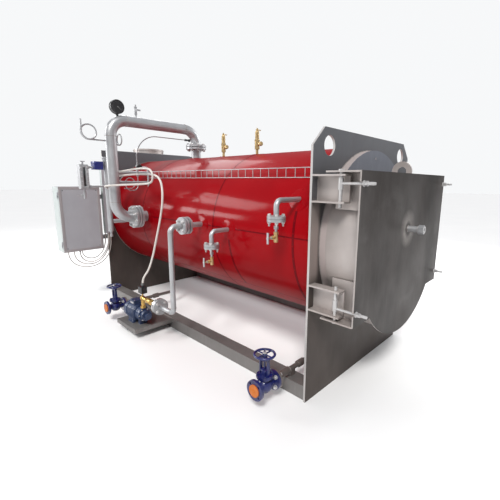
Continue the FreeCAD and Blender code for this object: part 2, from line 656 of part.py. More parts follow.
def feed_pump():
    """Peripheral pump and its motor on a tray welded to the near rail."""
    out, axis = -size("feed_out_y"), size("pump_axis_z")
    pump_x, head, length = -size("pump_x"), size("pump_radius"), size("pump_length")
    front, back = pump_x + length / 2, pump_x - length / 2
    tray_top, motor = size("rail_height"), size("motor_radius")
    pump = fused(bar("X", head, back, front - 34, (out, axis)), bar("X", head - 14, front - 34, front, (out, axis)),
                 bar("X", 24, front, front + 26, (out, axis)), nut_bar("X", 52, front + 26, front + 44, (out, axis)),
                 bar("Z", 22, axis, axis + head, (pump_x, out)),
                 brick((back + 10, back + 46), (out - 36, out + 36), (tray_top, axis)))
    made("feed_pump", pump)
    rear = back - size("motor_length")
    motor_body = fused(bar("X", motor, rear + 44, back - 12, (out, axis)), bar("X", motor - 10, back - 12, back, (out, axis)),
                       bar("X", motor + 4, rear, rear + 44, (out, axis)),
                       brick((rear + 66, back - 40), (out - 40, out + 40), (axis, axis + motor + 34)),
                       brick((rear + 60, back - 34), (out - 62, out - 42), (tray_top, axis)),
                       brick((rear + 60, back - 34), (out + 42, out + 62), (tray_top, axis)))
    made("pump_motor", motor_body)
    rail, thick, lip = -size("rail_outer_y"), size("tray_thick"), size("tray_lip")
    tray_x = (front + 20 - size("tray_width"), front + 20)
    across = (rail - size("tray_out"), rail)
    plate = brick(tray_x, across, (tray_top - thick, tray_top))
    lips = [brick((tray_x[0], tray_x[0] + thick), across, (tray_top - lip, tray_top)),
            brick((tray_x[1] - thick, tray_x[1]), across, (tray_top - lip, tray_top)),
            brick(tray_x, (across[0], across[0] + thick), (tray_top - lip, tray_top))]
    made("pump_tray", fused(plate, *lips))


def sample_branches():
    """Two small flanged branches that turn down to needle valves."""
    radius, flange, thick = size("branch_radius"), size("branch_flange_radius"), size("branch_flange_thick")
    out, raised = -size("branch_out_y"), 2
    valves, uppers, lowers = [], [], []
    for name in ("front", "rear"):
        x, z = -size(name + "_branch_x"), size(name + "_branch_z")
        joint = size(name + "_branch_flange")
        route = [(x, 0, z), (x, out, z), (x, out, joint + thick / 2)]
        upper = off_shell(fused(tube(route, radius, size("branch_bend")),
                                bar("Z", flange, joint, joint + thick, (x, out))))
        low = joint - raised - thick
        lower = fused(bar("Z", flange, low, low + thick, (x, out)), bar("Z", 34, low + thick, joint, (x, out)),
                      bar("Z", 8.5, low - 62, low, (x, out)), nut_bar("Z", 26, low - 46, low - 26, (x, out)))
        holes = bolt_holes("Z", 7, 42.5, 4, low - 5, joint + thick + 5, (x, out), 45)
        uppers.append(upper.cut(Part.makeCompound(holes)))
        lowers.append(lower.cut(Part.makeCompound(holes)))
        top = low - 62
        valves.append(fused(nut_bar("Z", 26, top - 16, top, (x, out)), bar("Z", 12, top - 52, top - 16, (x, out)),
                            nut_bar("Z", 24, top - 64, top - 50, (x, out)),
                            bar("Y", 10, out - 40, out, (x, top - 34)),
                            bar("Y", 5, out - 72, out - 36, (x, top - 34)),
                            brick((x - 6, x + 6), (out - 76, out - 70), (top - 66, top - 2))))
    made("sample_branches", Part.makeCompound(uppers))
    made("sample_flanges", Part.makeCompound(lowers))
    made("sample_valves", Part.makeCompound(valves))


def relief_valves():
    """Two spring safety valves standing on the crown."""
    base, tall = size("axis_height") + size("shell_radius"), size("relief_height")
    valves = []
    for name in ("front", "rear"):
        x = -size("relief_%s_x" % name)
        valve = fused(bar("Z", 13, base - 60, base + 60, (x, 0)), nut_bar("Z", 40, base + 48, base + 76, (x, 0)),
                      bar("Z", 22, base + 76, base + 120, (x, 0)), bar("X", 15, x, x + 46, (0, base + 96)),
                      nut_bar("X", 36, x + 40, x + 58, (0, base + 96)), nut_bar("Z", 44, base + 120, base + 136, (x, 0)),
                      bar("Z", 18, base + 136, base + tall - 34, (x, 0)),
                      bar("Z", 12, base + tall - 34, base + tall - 10, (x, 0)),
                      bar("Z", 6, base + tall - 10, base + tall, (x, 0)),
                      brick((x - 4, x + 4), (-4, 46), (base + tall - 20, base + tall - 12)))
        valves.append(off_shell(valve))
    made("safety_valves", Part.makeCompound(valves))


# ---------------------------------------------------------------- blowdown valves

def blowdown(name):
    """Drain pipe over the rail, a globe valve with a blank cap, and its handwheel."""
    x, y, z = -size("blow_%s_x" % name), -size("blow_%s_y" % name), size("blow_z")
    half, radius = size("valve_length") / 2, size("branch_radius")
    flange, thick = size("valve_flange_radius"), size("valve_flange_thick")
    seat, wheel_z = y + half + thick, z + size("wheel_rise")
    inner = -size("blow_inner_y")
    route = [(x, y + half + thick / 2, z), (x, inner, z), (x, inner, size("axis_height"))]
    pipe = off_shell(fused(tube(route, radius, size("branch_bend")),
                           bar("Y", flange, y + half, seat, (x, z)),
                           bar("Y", size("sleeve_radius"), seat, seat + size("sleeve_length"), (x, z)),
                           bar("Y", radius + 8, -560, -500, (x, z)),
                           brick((x - 14, x + 14), (-654, -606), (size("rail_height"), z))))
    arms = [brick((x + low, x + low + 9), (y - 10, y + 10), (z + 70, wheel_z - 24)) for low in (-36, 27)]
    body = fused(bar("Y", flange, y - half, y - half + thick, (x, z)),
                 bar("Y", flange, y + half - thick, y + half, (x, z)),
                 bar("Y", 28, y - half, y + half, (x, z)), Part.makeSphere(52, V(x, y, z), V(0, 1, 0)),
                 bar("Z", 34, z, z + 60, (x, y)), bar("Z", 52, z + 54, z + 74, (x, y)),
                 bar("Z", 19, z + 70, z + 104, (x, y)), *arms,
                 brick((x - 36, x + 36), (y - 12, y + 12), (wheel_z - 36, wheel_z - 24)),
                 bar("Z", 18, wheel_z - 40, wheel_z - 14, (x, y)))
    stem_hole = bar("Z", 6 + size("pin_fit"), z + 70, wheel_z, (x, y))
    holes = bolt_holes("Y", 8, size("valve_bolt_pitch"), 4, y - half - 5, seat + 5, (x, z), 45)
    hole_set = Part.makeCompound(holes)
    cap = bar("Y", size("cap_radius"), y - half - 7, y - half, (x, z))
    wheel, rim = size("wheel_radius"), size("wheel_rim")
    hub = bar("Z", 13, wheel_z - 10, wheel_z + 10, (x, y))
    spokes = [bar("X", 5, x - wheel, x + wheel, (y, wheel_z)), bar("Y", 5, y - wheel, y + wheel, (x, wheel_z))]
    handwheel = fused(Part.makeTorus(wheel, rim, V(x, y, wheel_z)), hub, *spokes,
                      bar("Z", 6, z + 72, wheel_z + 22, (x, y)))
    made("blowdown_handwheel_" + name, handwheel)
    return pipe.cut(hole_set), body.cut(stem_hole).cut(hole_set), cap


def blowdown_valves():
    pairs = zip(blowdown("front"), blowdown("rear"))
    for label, pair in zip(("blowdown_pipes", "blowdown_valve_bodies", "blowdown_caps"), pairs):
        made(label, Part.makeCompound(list(pair)))


# ---------------------------------------------------------------- routes of the cords

CONDUIT_TO_PUMP = [
    (-2216, -865, 1465), (-2140, -865, 1465), (-2000, -800, 1480), (-1850, -758, 1482), (-1700, -748, 1474),
    (-1580, -765, 1438), (-1510, -785, 1350), (-1497, -800, 1215), (-1530, -816, 1060), (-1580, -830, 900),
    (-1625, -848, 740), (-1655, -880, 610), (-1674, -935, 540), (-1674, -935, 478)]
CONDUIT_LOOP = [
    (-2350, -890, 1330), (-2300, -890, 1330), (-2225, -950, 1343), (-2155, -1020, 1360), (-2065, -1035, 1370),
    (-1975, -965, 1378), (-1890, -875, 1384), (-1795, -812, 1389), (-1699, -790, 1399), (-1663, -788, 1435),
    (-1663, -790, 1487), (-1699, -795, 1523), (-1790, -802, 1531), (-1910, -812, 1528), (-2040, -838, 1516),
    (-2150, -865, 1503), (-2216, -865, 1503)]
CABLES = [
    [(-3040, -1130, 612), (-3040, -1130, 540), (-3030, -1070, 450), (-3015, -950, 405), (-2998, -815, 425),
     (-2984, -712, 520), (-2976, -678, 640), (-2974, -672, 745), (-2974, -672, 815)],
    [(-3005, -1080, 612), (-3005, -1080, 555), (-3000, -1030, 480), (-2992, -930, 440), (-2982, -825, 462),
     (-2972, -745, 545), (-2965, -702, 650), (-2962, -692, 748), (-2962, -692, 815)],
    [(-2965, -1030, 612), (-2965, -1030, 562), (-2964, -990, 503), (-2960, -910, 473), (-2955, -830, 498),
     (-2950, -762, 572), (-2948, -720, 662), (-2948, -711, 750), (-2948, -711, 815)],
    [(-3055, -980, 612), (-3055, -980, 565), (-3048, -945, 520), (-3033, -880, 500), (-3016, -812, 525),
     (-2998, -762, 590), (-2988, -738, 675), (-2984, -730, 755), (-2984, -730, 815)],
]


# ---------------------------------------------------------------- control cabinet and cable duct

# how far each gland lies behind the cabinet's face and out from its inner side
GLANDS = ((140, 340), (105, 290), (65, 240), (155, 190))


def control_cabinet():
    rear, half = -size("rear_plate_x"), size("plate_width") / 2
    front, wall, thick = rear + size("cabinet_forward"), size("cabinet_wall"), size("cabinet_door_thick")
    inner, width = -half - size("cabinet_outboard"), size("cabinet_width")
    low, high = size("cabinet_low"), size("cabinet_high")
    gap = size("moving_gap")
    face = front - thick
    x, y, z = (front - size("cabinet_depth"), face - gap), (inner - width, inner), (low, high)
    case = brick(x, y, z).cut(brick((x[0] + wall, x[1] + 1), (y[0] + wall, y[1] - wall), (z[0] + wall, z[1] - wall)))
    made("cabinet_case", case)
    knuckle = 7
    hinge_x, hinge_y = face - gap + knuckle, y[0] - knuckle
    ears = [fused(brick((hinge_x - 22, hinge_x), (hinge_y - knuckle, y[0]), (pz - 34, pz - 4)),
                  bar("Z", knuckle, pz - 34, pz - 4, (hinge_x, hinge_y)),
                  bar("Z", 4, pz - 34, pz + 30, (hinge_x, hinge_y))) for pz in (low + 90, high - 90)]
    clear = brick((x[1], x[1] + 60), (y[0], y[1]), (low, high))
    ears = [ear.cut(clear) for ear in ears]
    door = brick((face, front), y, z).cut(brick((face - 1, front - wall), (y[0] + wall, y[1] - wall),
                                                (z[0] + wall, z[1] - wall)))
    knuckles = [bar("Z", knuckle, pz - 3, pz + 30, (hinge_x, hinge_y)) for pz in (low + 90, high - 90)]
    straps = [brick((hinge_x, front), (hinge_y - knuckle, y[0] + 1), (pz - 3, pz + 30)) for pz in (low + 90, high - 90)]
    bores = [bar("Z", 4 + size("pin_fit"), pz - 40, pz + 40, (hinge_x, hinge_y)) for pz in (low + 90, high - 90)]
    made("cabinet_door", fused(door, *knuckles, *straps).cut(Part.makeCompound(bores)))
    plate_back = rear - size("plate_thick")
    bars = [brick((plate_back - 8, plate_back), (inner, 80 - half), (pz - 25, pz + 25)) for pz in (low + 120, high - 120)]
    made("cabinet_fixings", Part.makeCompound(bars + ears))
    duct_wall = size("duct_wall")
    duct_x = (rear, rear + size("duct_depth"))
    duct_y = (-half - size("duct_width") / 2, -half + size("duct_width") / 2)
    rows = (size("duct_low"), size("duct_high"))
    hollow = brick((duct_x[0] + duct_wall, duct_x[1] - duct_wall), (duct_y[0] + duct_wall, duct_y[1] - duct_wall),
                   (rows[0] - 1, rows[1] - duct_wall))
    made("cable_duct", brick(duct_x, duct_y, rows).cut(hollow))
    spots = [(front - back, inner - across) for back, across in GLANDS]
    glands = [fused(nut_bar("Z", 22, low - 10, low, spot), bar("Z", 9, low - 20, low - 10, spot)) for spot in spots]
    made("cabinet_glands", Part.makeCompound(glands))


# ---------------------------------------------------------------- level controls

def level_controls():
    x, y, radius = -size("stand_x"), -size("stand_y"), size("stand_radius")
    low, high = size("stand_low"), size("stand_high")
    upper, lower, pipe = size("level_upper_z"), size("level_lower_z"), size("level_pipe_radius")
    stand = fused(bar("Z", radius, low, high, (x, y)), bar("Z", radius + 12, high - 30, high - 12, (x, y)),
                  bar("Z", radius + 12, high, high + 16, (x, y)), bar("Z", radius + 4, high - 12, high, (x, y)),
                  bar("Y", 21, y, 0, (x, 1500)), bar("Y", 21, y, 0, (x, 1000)),
                  bar("Z", 10, low - 40, low, (x, y)), nut_bar("Z", 28, low - 60, low - 36, (x, y)),
                  bar("X", 11, x + radius - 4, x + radius + 22, (y, lower - 30)))
    stand = off_shell(stand)
    gauge_y, half = -size("level_y"), size("level_width") / 2
    depth = size("level_depth") / 2
    made("level_gauge", fused(
        brick((x - depth, x + depth), (gauge_y - half, gauge_y + half), (size("level_low"), size("level_high"))),
        bar("Z", 9, size("level_high"), size("level_high") + 26, (x, gauge_y)),
        brick((x - 6, x + 6), (gauge_y - 22, gauge_y + 22), (size("level_high") + 26, size("level_high") + 34))))
    box = size("switch_size")
    box_y = (y - radius - 20 - box, y - radius - 20)
    stubs = [bar("Y", pipe, gauge_y + half, box_y[0], (x, upper)), bar("Y", pipe, box_y[1], y, (x, upper)),
             bar("Y", pipe, gauge_y + half, y, (x, lower)),
             nut_bar("Y", 30, gauge_y + half, gauge_y + half + 16, (x, lower)),
             nut_bar("Y", 30, gauge_y + half, gauge_y + half + 16, (x, upper))]
    keep_out = bar("Z", radius, low, high, (x, y))
    made("level_pipes", Part.makeCompound([fused(stubs[0], stubs[4]), stubs[1].cut(keep_out),
                                           fused(stubs[2], stubs[3]).cut(keep_out)]))
    made("level_switch_box", brick((x - box / 2, x + box / 2), box_y, (upper - 22, upper + box - 28)))
    base = size("level_low")
    cock = (fused(bar("Z", 7, base - 30, base, (x, gauge_y)), nut_bar("Z", 26, base - 48, base - 28, (x, gauge_y)),
                                    bar("Z", 12, base - 82, base - 48, (x, gauge_y)), nut_bar("Z", 22, base - 96, base - 80, (x, gauge_y)),
                                    bar("Y", 8, gauge_y - 34, gauge_y, (x, base - 62)),
                                    brick((x - 5, x + 5), (gauge_y - 62, gauge_y - 30), (base - 66, base - 58))))
    made("level_drain_valve", cock)
    probe_x, probe_y, probe = -size("probe_x"), -size("probe_y"), size("probe_radius")
    p_low = size("axis_height") + size("shell_radius") * size("probe_share")
    p_high = p_low + size("probe_height")
    chamber = off_shell(fused(
        bar("Z", probe, p_low, p_high, (probe_x, probe_y)), bar("Y", 14, probe_y, 0, (probe_x, p_low + 26)),
        bar("Z", probe + 9, p_high - 22, p_high - 8, (probe_x, probe_y)),
        bar("X", 10, probe_x + probe - 4, probe_x + probe + 20, (probe_y, p_low + 90)),
        bar("X", 10, probe_x + probe - 4, probe_x + probe + 20, (probe_y, p_low + 128))))
    made("level_columns", Part.makeCompound([stand, chamber]))
    made("probe_head", fused(nut_bar("Z", 46, p_high, p_high + 22, (probe_x, probe_y)),
                             bar("Z", 19, p_high + 22, p_high + 52, (probe_x, probe_y)),
                             bar("Z", 31, p_high + 52, p_high + 104, (probe_x, probe_y)),
                             bar("Z", 12, p_high + 104, p_high + 120, (probe_x, probe_y))))


def instrument_tubes(pressure_switch):
    """Riser off the shell with a knob valve, the impulse tube under it and a plugged capillary."""
    x, y, top = -size("riser_x"), -size("riser_y"), size("riser_z")
    knob_y = -size("knob_y")
    riser = off_shell(fused(tube([(x, y, size("axis_height")), (x, y, top), (x, knob_y, top)], 10, 26),
                            nut_bar("Z", 30, 1398, 1420, (x, y)), nut_bar("Y", 28, knob_y + 20, knob_y + 38, (x, top))))
    valve = fused(brick((x - 17, x + 17), (knob_y - 16, knob_y), (top - 24, top + 24)),
                  bar("X", 10, x + 17, x + 30, (knob_y - 8, top)), bar("Z", 10, top - 60, top - 24, (x, knob_y - 8)),
                  nut_bar("Z", 28, top - 92, top - 60, (x, knob_y - 8)))
    knob = bar("X", 27, x + 30, x + 54, (knob_y - 8, top))
    start = (x, knob_y - 8, top - 92)
    low = top - 235
    impulse = tube([start, (x, knob_y - 8, low), (x, knob_y - 138, low), (x, knob_y - 138, low + 124),
                    (x - 12, knob_y - 40, low + 124), (x - 12, knob_y - 40, low + 20), (x - 12, knob_y - 150, low + 20)],
                   5, [58, 58, 44, 44, 46])
    base = top + 24
    capillary = tube([(x, knob_y - 8, base), (x, knob_y - 8, base + 300), (x, -70, base + 300)], 5, 230)
    made("instrument_tubing", fused(riser, valve, impulse, capillary))
    plug = fused(bar("Y", 9, -70, -20, (x, base + 300)), Part.makeSphere(17, V(x, -12, base + 300), V(0, 1, 0)))
    made("black_fittings", Part.makeCompound([knob, plug, pressure_switch]))


def cable_tray():
    """Wire ladder standing on edge along the shell."""
    angle, wire, rise = math.radians(size("tray_angle")), size("tray_wire"), size("tray_rise")
    radius = size("shell_radius") + size("seat_gap") + wire + 0.5
    start, pitch, count = -size("tray_start"), size("rung_pitch"), int(size("rungs"))
    foot = V(start, -radius * math.cos(angle), size("axis_height") + radius * math.sin(angle))
    length = pitch * (count - 1)
    wires = [Part.makeCylinder(wire + 0.5, length + 20, foot + V(10, 0, up), V(-1, 0, 0)) for up in (0, rise)]
    for rung in range(count):
        wires.append(Part.makeCylinder(wire, rise, foot - V(pitch * rung, 0, 0), V(0, 0, 1)))
    made("cable_tray", fused(*wires))


# ---------------------------------------------------------------- cords

def cord(label, points, radius):
    """A cord's plain tube: each arc is as large as its two runs allow."""
    spots = [V(*point) for point in points]
    bends = []
    for before, corner, after in zip(spots, spots[1:], spots[2:]):
        turn = (corner - before).getAngle(after - corner)
        shorter = min((corner - before).Length, (after - corner).Length)
        bends.append(0.45 * shorter / math.tan(turn / 2))
    shape = tube(points, radius, bends)
    length = path(spots, bends).Length
    print("%s radii %.0f to %.0f, length %.0f, volume ratio %.4f" % (
        label, min(bends), max(bends), length, shape.Volume / (math.pi * radius ** 2 * length)))
    made(label, shape)


front_end_plate()
rear_end_plate()
boiler_shell()
base_rails()
smoke_box()
front_closure()
door_shell()
lifting_ring()
sight_tube()
hinge_brackets("near", "-")
hinge_brackets("far", "")
hinge_pins("near", "-")
hinge_pins("far", "")
swing_bolts()
steam_fittings(steam_loop())
switch = feed_line()
feed_pump()
sample_branches()
relief_valves()
blowdown_valves()
control_cabinet()
level_controls()
instrument_tubes(switch)
cable_tray()
cord("conduit_to_pump", CONDUIT_TO_PUMP, size("conduit_radius"))
cord("conduit_loop", CONDUIT_LOOP, size("conduit_radius"))
for number, route in enumerate(CABLES, start=1):
    cord("cabinet_cable_%d" % number, route, size("cable_radius"))

doc.recompute()
for feature in doc.Objects:
    if "Invalid" in feature.State or "Error" in feature.State:
        raise RuntimeError("%s did not build: %s" % (feature.Name, feature.State))
for feature in nodes:
    if feature.Shape.isNull() or not feature.Shape.isValid() or not feature.Shape.Solids:
        raise RuntimeError("%s has no valid solid" % feature.Label)
os.makedirs("parts", exist_ok=True)
for feature in nodes:
    feature.Shape.exportStep("parts/%s.step" % feature.Label)
print("%d nodes" % len(nodes))
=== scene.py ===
"""Looks for the packaged fire-tube boiler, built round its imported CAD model.

X runs along the boiler towards the door, -Y is the piping side, Z is up, in metres.
"""
import math

import bmesh
import bpy
from mathutils import Matrix, Vector


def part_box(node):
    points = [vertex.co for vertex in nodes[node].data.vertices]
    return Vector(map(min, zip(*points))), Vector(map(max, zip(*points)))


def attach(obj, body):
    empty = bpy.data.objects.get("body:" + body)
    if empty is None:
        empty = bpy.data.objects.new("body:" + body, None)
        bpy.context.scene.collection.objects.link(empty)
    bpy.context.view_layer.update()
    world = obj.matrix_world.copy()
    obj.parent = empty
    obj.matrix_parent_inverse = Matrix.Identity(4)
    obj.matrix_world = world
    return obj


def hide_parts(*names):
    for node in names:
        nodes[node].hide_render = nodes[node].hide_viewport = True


V = Vector
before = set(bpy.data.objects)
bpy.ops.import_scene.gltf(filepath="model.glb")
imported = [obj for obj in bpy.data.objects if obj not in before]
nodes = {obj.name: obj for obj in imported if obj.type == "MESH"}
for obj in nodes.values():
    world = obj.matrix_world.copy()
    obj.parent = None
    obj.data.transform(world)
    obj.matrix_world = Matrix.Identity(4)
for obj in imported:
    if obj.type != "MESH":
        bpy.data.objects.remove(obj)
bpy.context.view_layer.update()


# ---- camera, light and floor

def add_node(tree, kind, inputs=None, **settings):
    """A new node; each input gets a plain value or a link from another node's output."""
    made = tree.nodes.new(kind)
    for name, value in settings.items():
        setattr(made, name, value)
    for name, value in (inputs or {}).items():
        if isinstance(value, bpy.types.NodeSocket):
            tree.links.new(value, made.inputs[name])
        else:
            made.inputs[name].default_value = value
    return made


def camera():
    """The photograph's viewpoint: position, heading, downward pitch and roll."""
    place, heading, pitch, roll = V((1.1509, -2.3015, 1.4126)), 43.02, 10.48, 0.57
    a, e, tilt = (math.radians(value) for value in (heading, pitch, roll))
    back = V((math.sin(a) * math.cos(e), -math.cos(a) * math.cos(e), math.sin(e)))
    right = (-back).cross(V((0, 0, 1))).normalized()
    up = back.cross(right)
    across = right * math.cos(tilt) + up * math.sin(tilt)
    over = up * math.cos(tilt) - right * math.sin(tilt)
    lens = bpy.data.cameras.new("camera")
    lens.lens, lens.sensor_width = 23.97, 36
    lens.shift_x, lens.shift_y = -0.034, -0.0114
    lens.clip_end = 100
    made = bpy.data.objects.new("camera", lens)
    turn = Matrix((across, over, back)).transposed().to_4x4()
    made.matrix_world = Matrix.Translation(place) @ turn
    bpy.context.collection.objects.link(made)
    bpy.context.scene.camera = made


def area_light(name, spot, target, width, height, power, colour=(1, 1, 1)):
    """A rectangular softbox at spot that points at target."""
    data = bpy.data.lights.new(name, "AREA")
    data.shape, data.size, data.size_y = "RECTANGLE", width, height
    data.energy, data.color = power, colour
    made = bpy.data.objects.new(name, data)
    made.location = spot
    made.rotation_euler = (V(target) - V(spot)).to_track_quat("-Z", "Y").to_euler()
    bpy.context.collection.objects.link(made)


def sun_light(direction, strength, spread):
    data = bpy.data.lights.new("sun", "SUN")
    data.energy, data.angle, data.color = strength, math.radians(spread), (1, 0.985, 0.96)
    made = bpy.data.objects.new("sun", data)
    made.rotation_euler = V(direction).to_track_quat("Z", "Y").to_euler()
    bpy.context.collection.objects.link(made)


def surroundings():
    """A pale room, darker low down, with softboxes that draw the bands along the shell."""
    world = bpy.data.worlds.new("studio")
    world.use_nodes = True
    tree = world.node_tree
    room = tree.nodes["Background"]
    room.inputs["Color"].default_value = (0.88, 0.9, 0.94, 1)
    heading = add_node(tree, "ShaderNodeTexCoord").outputs["Generated"]
    parts = add_node(tree, "ShaderNodeSeparateXYZ", {0: heading})
    rise = add_node(tree, "ShaderNodeMapRange", {
        "Value": parts.outputs["Z"], "From Min": 0.0, "From Max": 0.9, "To Min": 0.22, "To Max": 0.72})
    tree.links.new(rise.outputs["Result"], room.inputs["Strength"])
    backdrop = add_node(tree, "ShaderNodeBackground", {"Color": (0.93, 0.94, 0.95, 1)})
    seen = add_node(tree, "ShaderNodeLightPath").outputs["Is Camera Ray"]
    choose = add_node(tree, "ShaderNodeMixShader", {0: seen, 1: room.outputs[0], 2: backdrop.outputs[0]})
    tree.links.new(choose.outputs[0], tree.nodes["World Output"].inputs["Surface"])
    bpy.context.scene.world = world
    bpy.context.scene.view_settings.view_transform = "Standard"
    sun_light((0.5, -0.7, 0.95), 2.9, 14)
    area_light("band_low", (-7.7, -5.2, 2.4), (-1.2, -0.6, 1.16), 2.6, 0.7, 105)
    area_light("band_middle", (-7.2, -4.7, 4.4), (-0.8, -0.6, 1.27), 2.8, 1.5, 170)
    area_light("band_crown", (-6.8, 1.3, 5.5), (-1.3, -0.36, 1.56), 3.4, 2.0, 140)
    area_light("far_side", (-1.0, 5.5, 3.6), (-1.4, 0, 1.0), 5.0, 2.4, 190)
    area_light("door_side", (4.4, 0.6, 2.8), (0.3, 0, 1.0), 2.2, 2.2, 10, (0.95, 0.97, 1))


def floor():
    """A wide pale floor, a millimetre under the boiler's feet."""
    side = 60
    corners = [(-side, -side, 0), (side, -side, 0), (side, side, 0), (-side, side, 0)]
    mesh = bpy.data.meshes.new("floor")
    mesh.from_pydata(corners, [], [(0, 1, 2, 3)])
    made = bpy.data.objects.new("floor", mesh)
    made.location.z = -0.001
    bpy.context.collection.objects.link(made)
    paint = Surface("floor_pale", (0.8, 0.8, 0.8), 0.75)
    paint.mottle((0.76, 0.76, 0.77), 0.7, 0.4)
    mesh.materials.append(paint.material)


# ---- materials

class Surface:
    """A Principled material whose colour, roughness and bump are built up in layers."""

    def __init__(self, name, colour, rough, metal=0.0, coat=0.0, coat_rough=0.12, specular=None):
        self.material = bpy.data.materials.new(name)
        self.material.use_nodes = True
        self.tree = self.material.node_tree
        self.shader = self.tree.nodes["Principled BSDF"]
        self.place = self.node("ShaderNodeTexCoord").outputs["Object"]
        self.colour = (*colour, 1)
        settings = {"Base Color": self.colour, "Roughness": rough, "Metallic": metal}
        if coat:
            settings.update({"Coat Weight": coat, "Coat Roughness": coat_rough})
        if specular is not None:
            settings["Specular IOR Level"] = specular
        for socket, value in settings.items():
            self.shader.inputs[socket].default_value = value

    def node(self, kind, inputs=None, **settings):
        return add_node(self.tree, kind, inputs, **settings)

    def drive(self, socket, source):
        self.tree.links.new(source, self.shader.inputs[socket])

    def maths(self, operation, *values):
        return self.node("ShaderNodeMath", dict(enumerate(values)), operation=operation).outputs[0]

    def times(self, first, second):
        return self.maths("MULTIPLY", first, second)

    def flipped(self, value):
        return self.maths("SUBTRACT", 1, value)

    def spread(self, value, low, high, end="From"):
        """Map low..high onto 0..1 or, where end is "To", 0..1 onto low..high."""
        inputs = {"Value": value, end + " Min": low, end + " Max": high}
        return self.node("ShaderNodeMapRange", inputs).outputs["Result"]

    def grain(self, stretch, **settings):
        """Noise in the piece's own place, squeezed by a factor for each axis."""
        place = self.place
        if stretch:
            place = self.node("ShaderNodeMapping", {"Vector": place, "Scale": stretch}).outputs["Vector"]
        return self.node("ShaderNodeTexNoise", {"Vector": place, **settings}).outputs["Fac"]

    def noise(self, scale, low=0.35, high=0.65, stretch=None, detail=4.0, rough=0.55):
        """Noise spread to 0..1 between two thresholds."""
        return self.spread(self.grain(stretch, Scale=scale, Detail=detail, Roughness=rough), low, high)

    def over(self, colour, mask):
        """Lay a colour over what is there, where the mask is 1."""
        inputs = {"A": self.colour, "B": (*colour, 1), "Factor": mask}
        self.colour = self.node("ShaderNodeMix", inputs, data_type="RGBA").outputs["Result"]
        self.drive("Base Color", self.colour)

    def mottle(self, colour, scale, amount, stretch=None, low=0.35, high=0.65):
        """Patches of a colour, as large as 1 / scale and as strong as amount."""
        self.over(colour, self.times(self.noise(scale, low, high, stretch), amount))

    def vary_rough(self, low, high, scale):
        field = self.noise(scale, 0.3, 0.7, detail=3.0, rough=0.5)
        self.drive("Roughness", self.spread(field, low, high, "To"))

    def bump(self, strength, distance, scale, stretch=None, detail=3.0):
        height = self.grain(stretch, Scale=scale, Detail=detail)
        made = self.node("ShaderNodeBump", {"Strength": strength, "Distance": distance, "Height": height})
        self.drive("Normal", made.outputs["Normal"])

    def axis(self, letter, low, high):
        """0 at one coordinate, 1 at the other."""
        parts = self.node("ShaderNodeSeparateXYZ", {"Vector": self.place})
        return self.spread(parts.outputs[letter], low, high)

    def facing(self, letter, low=0.8, high=0.95):
        """1 on surfaces that face along one of the piece's own axes, either way."""
        parts = self.node("ShaderNodeSeparateXYZ", {"Vector": self.place.node.outputs["Normal"]})
        return self.spread(self.maths("ABSOLUTE", parts.outputs[letter]), low, high)

    def around(self, centre, outer, inner):
        """1 inside one distance from a point, 0 beyond another."""
        reach = self.node("ShaderNodeVectorMath", {0: self.place, 1: centre}, operation="DISTANCE")
        return self.spread(reach.outputs["Value"], outer, inner)


def tint(colour, factor):
    return tuple(value * factor for value in colour)


def layered(name, base, rough, patches, band=None, bump=None, **kind):
    """A surface from its base, patches of other colours, band of roughness and bump."""
    made = Surface(name, base, rough, **kind)
    for patch in patches:
        made.mottle(*patch)
    if band:
        made.vary_rough(*band)
    if bump:
        made.bump(*bump)
    return made


def mill_plate(name, base=(0.058, 0.047, 0.042), high=(0.15, 0.16, 0.178), cut=None):
    """Hot-rolled plate: smudged rolled faces, a painted reflection that makes it bluer high up, a painted
    pool of light on the piping side between the hinge brackets, bright where it was cut square to X.
    """
    made = Surface(name, base, 0.5, metal=0.45, specular=0.3)
    made.mottle(tint(base, 1.45), 1.3, 0.8)
    made.mottle(tint(base, 0.68), 2.2, 0.6, (1, 1, 0.35), 0.5, 0.75)
    # painted reflection and shade: darker and browner low down, turning bluer from 0.7 m up as the face
    # catches the sky
    made.over(high, made.times(made.axis("Z", 0.7, 1.6), 0.7))
    made.mottle(tint(base, 1.9), 34, 0.18, (1, 1, 0.2), 0.5, 0.8)
    if cut:
        # painted light: a pale patch on the piping side between the lower and upper hinge brackets, where
        # light pools on the plate's face
        painted_light_patch = made.times(made.axis("Z", 0.78, 0.86), made.axis("Z", 1.33, 1.25))
        made.over((0.4, 0.335, 0.31), made.times(made.times(painted_light_patch, 0.8), made.axis("Y", -0.6, -0.63)))
        made.over(cut, made.times(made.flipped(made.facing("X")), 0.85))
    made.vary_rough(0.4, 0.58, 3.0)
    made.bump(0.08, 0.002, 60, (1, 1, 0.5))
    return made.material


def door_plate():
    """Dark brown-grey plate with rubbed smudges and a pale halo round the sight tube."""
    made = layered("door_plate_steel", (0.042, 0.035, 0.032), 0.46, [
        ((0.082, 0.074, 0.07), 1.6, 0.85, (1, 1, 0.6), 0.42, 0.66),
        ((0.024, 0.02, 0.018), 2.4, 0.75, (1, 1.2, 0.45), 0.5, 0.66),
        ((0.15, 0.142, 0.138), 3.6, 0.35, (1, 0.7, 1.2), 0.6, 0.78),
        ((0.115, 0.108, 0.105), 46, 0.18, (1, 1, 0.12), 0.5, 0.8)],
        (0.38, 0.54, 2.6), (0.08, 0.002, 60, (1, 1, 0.4)), metal=0.45, specular=0.2)
    sight = (DOOR_FACE, 0, SIGHT_Z)
    halo = made.around(sight, 0.135, 0.055)
    made.over((0.36, 0.33, 0.31), made.times(halo, made.times(made.noise(9, low=0.25), 0.75)))
    made.over((0.035, 0.03, 0.028), made.times(made.around(sight, 0.06, 0.035), 0.85))
    made.over((0.5, 0.46, 0.44), made.times(made.flipped(made.facing("X")), 0.8))
    return made.material


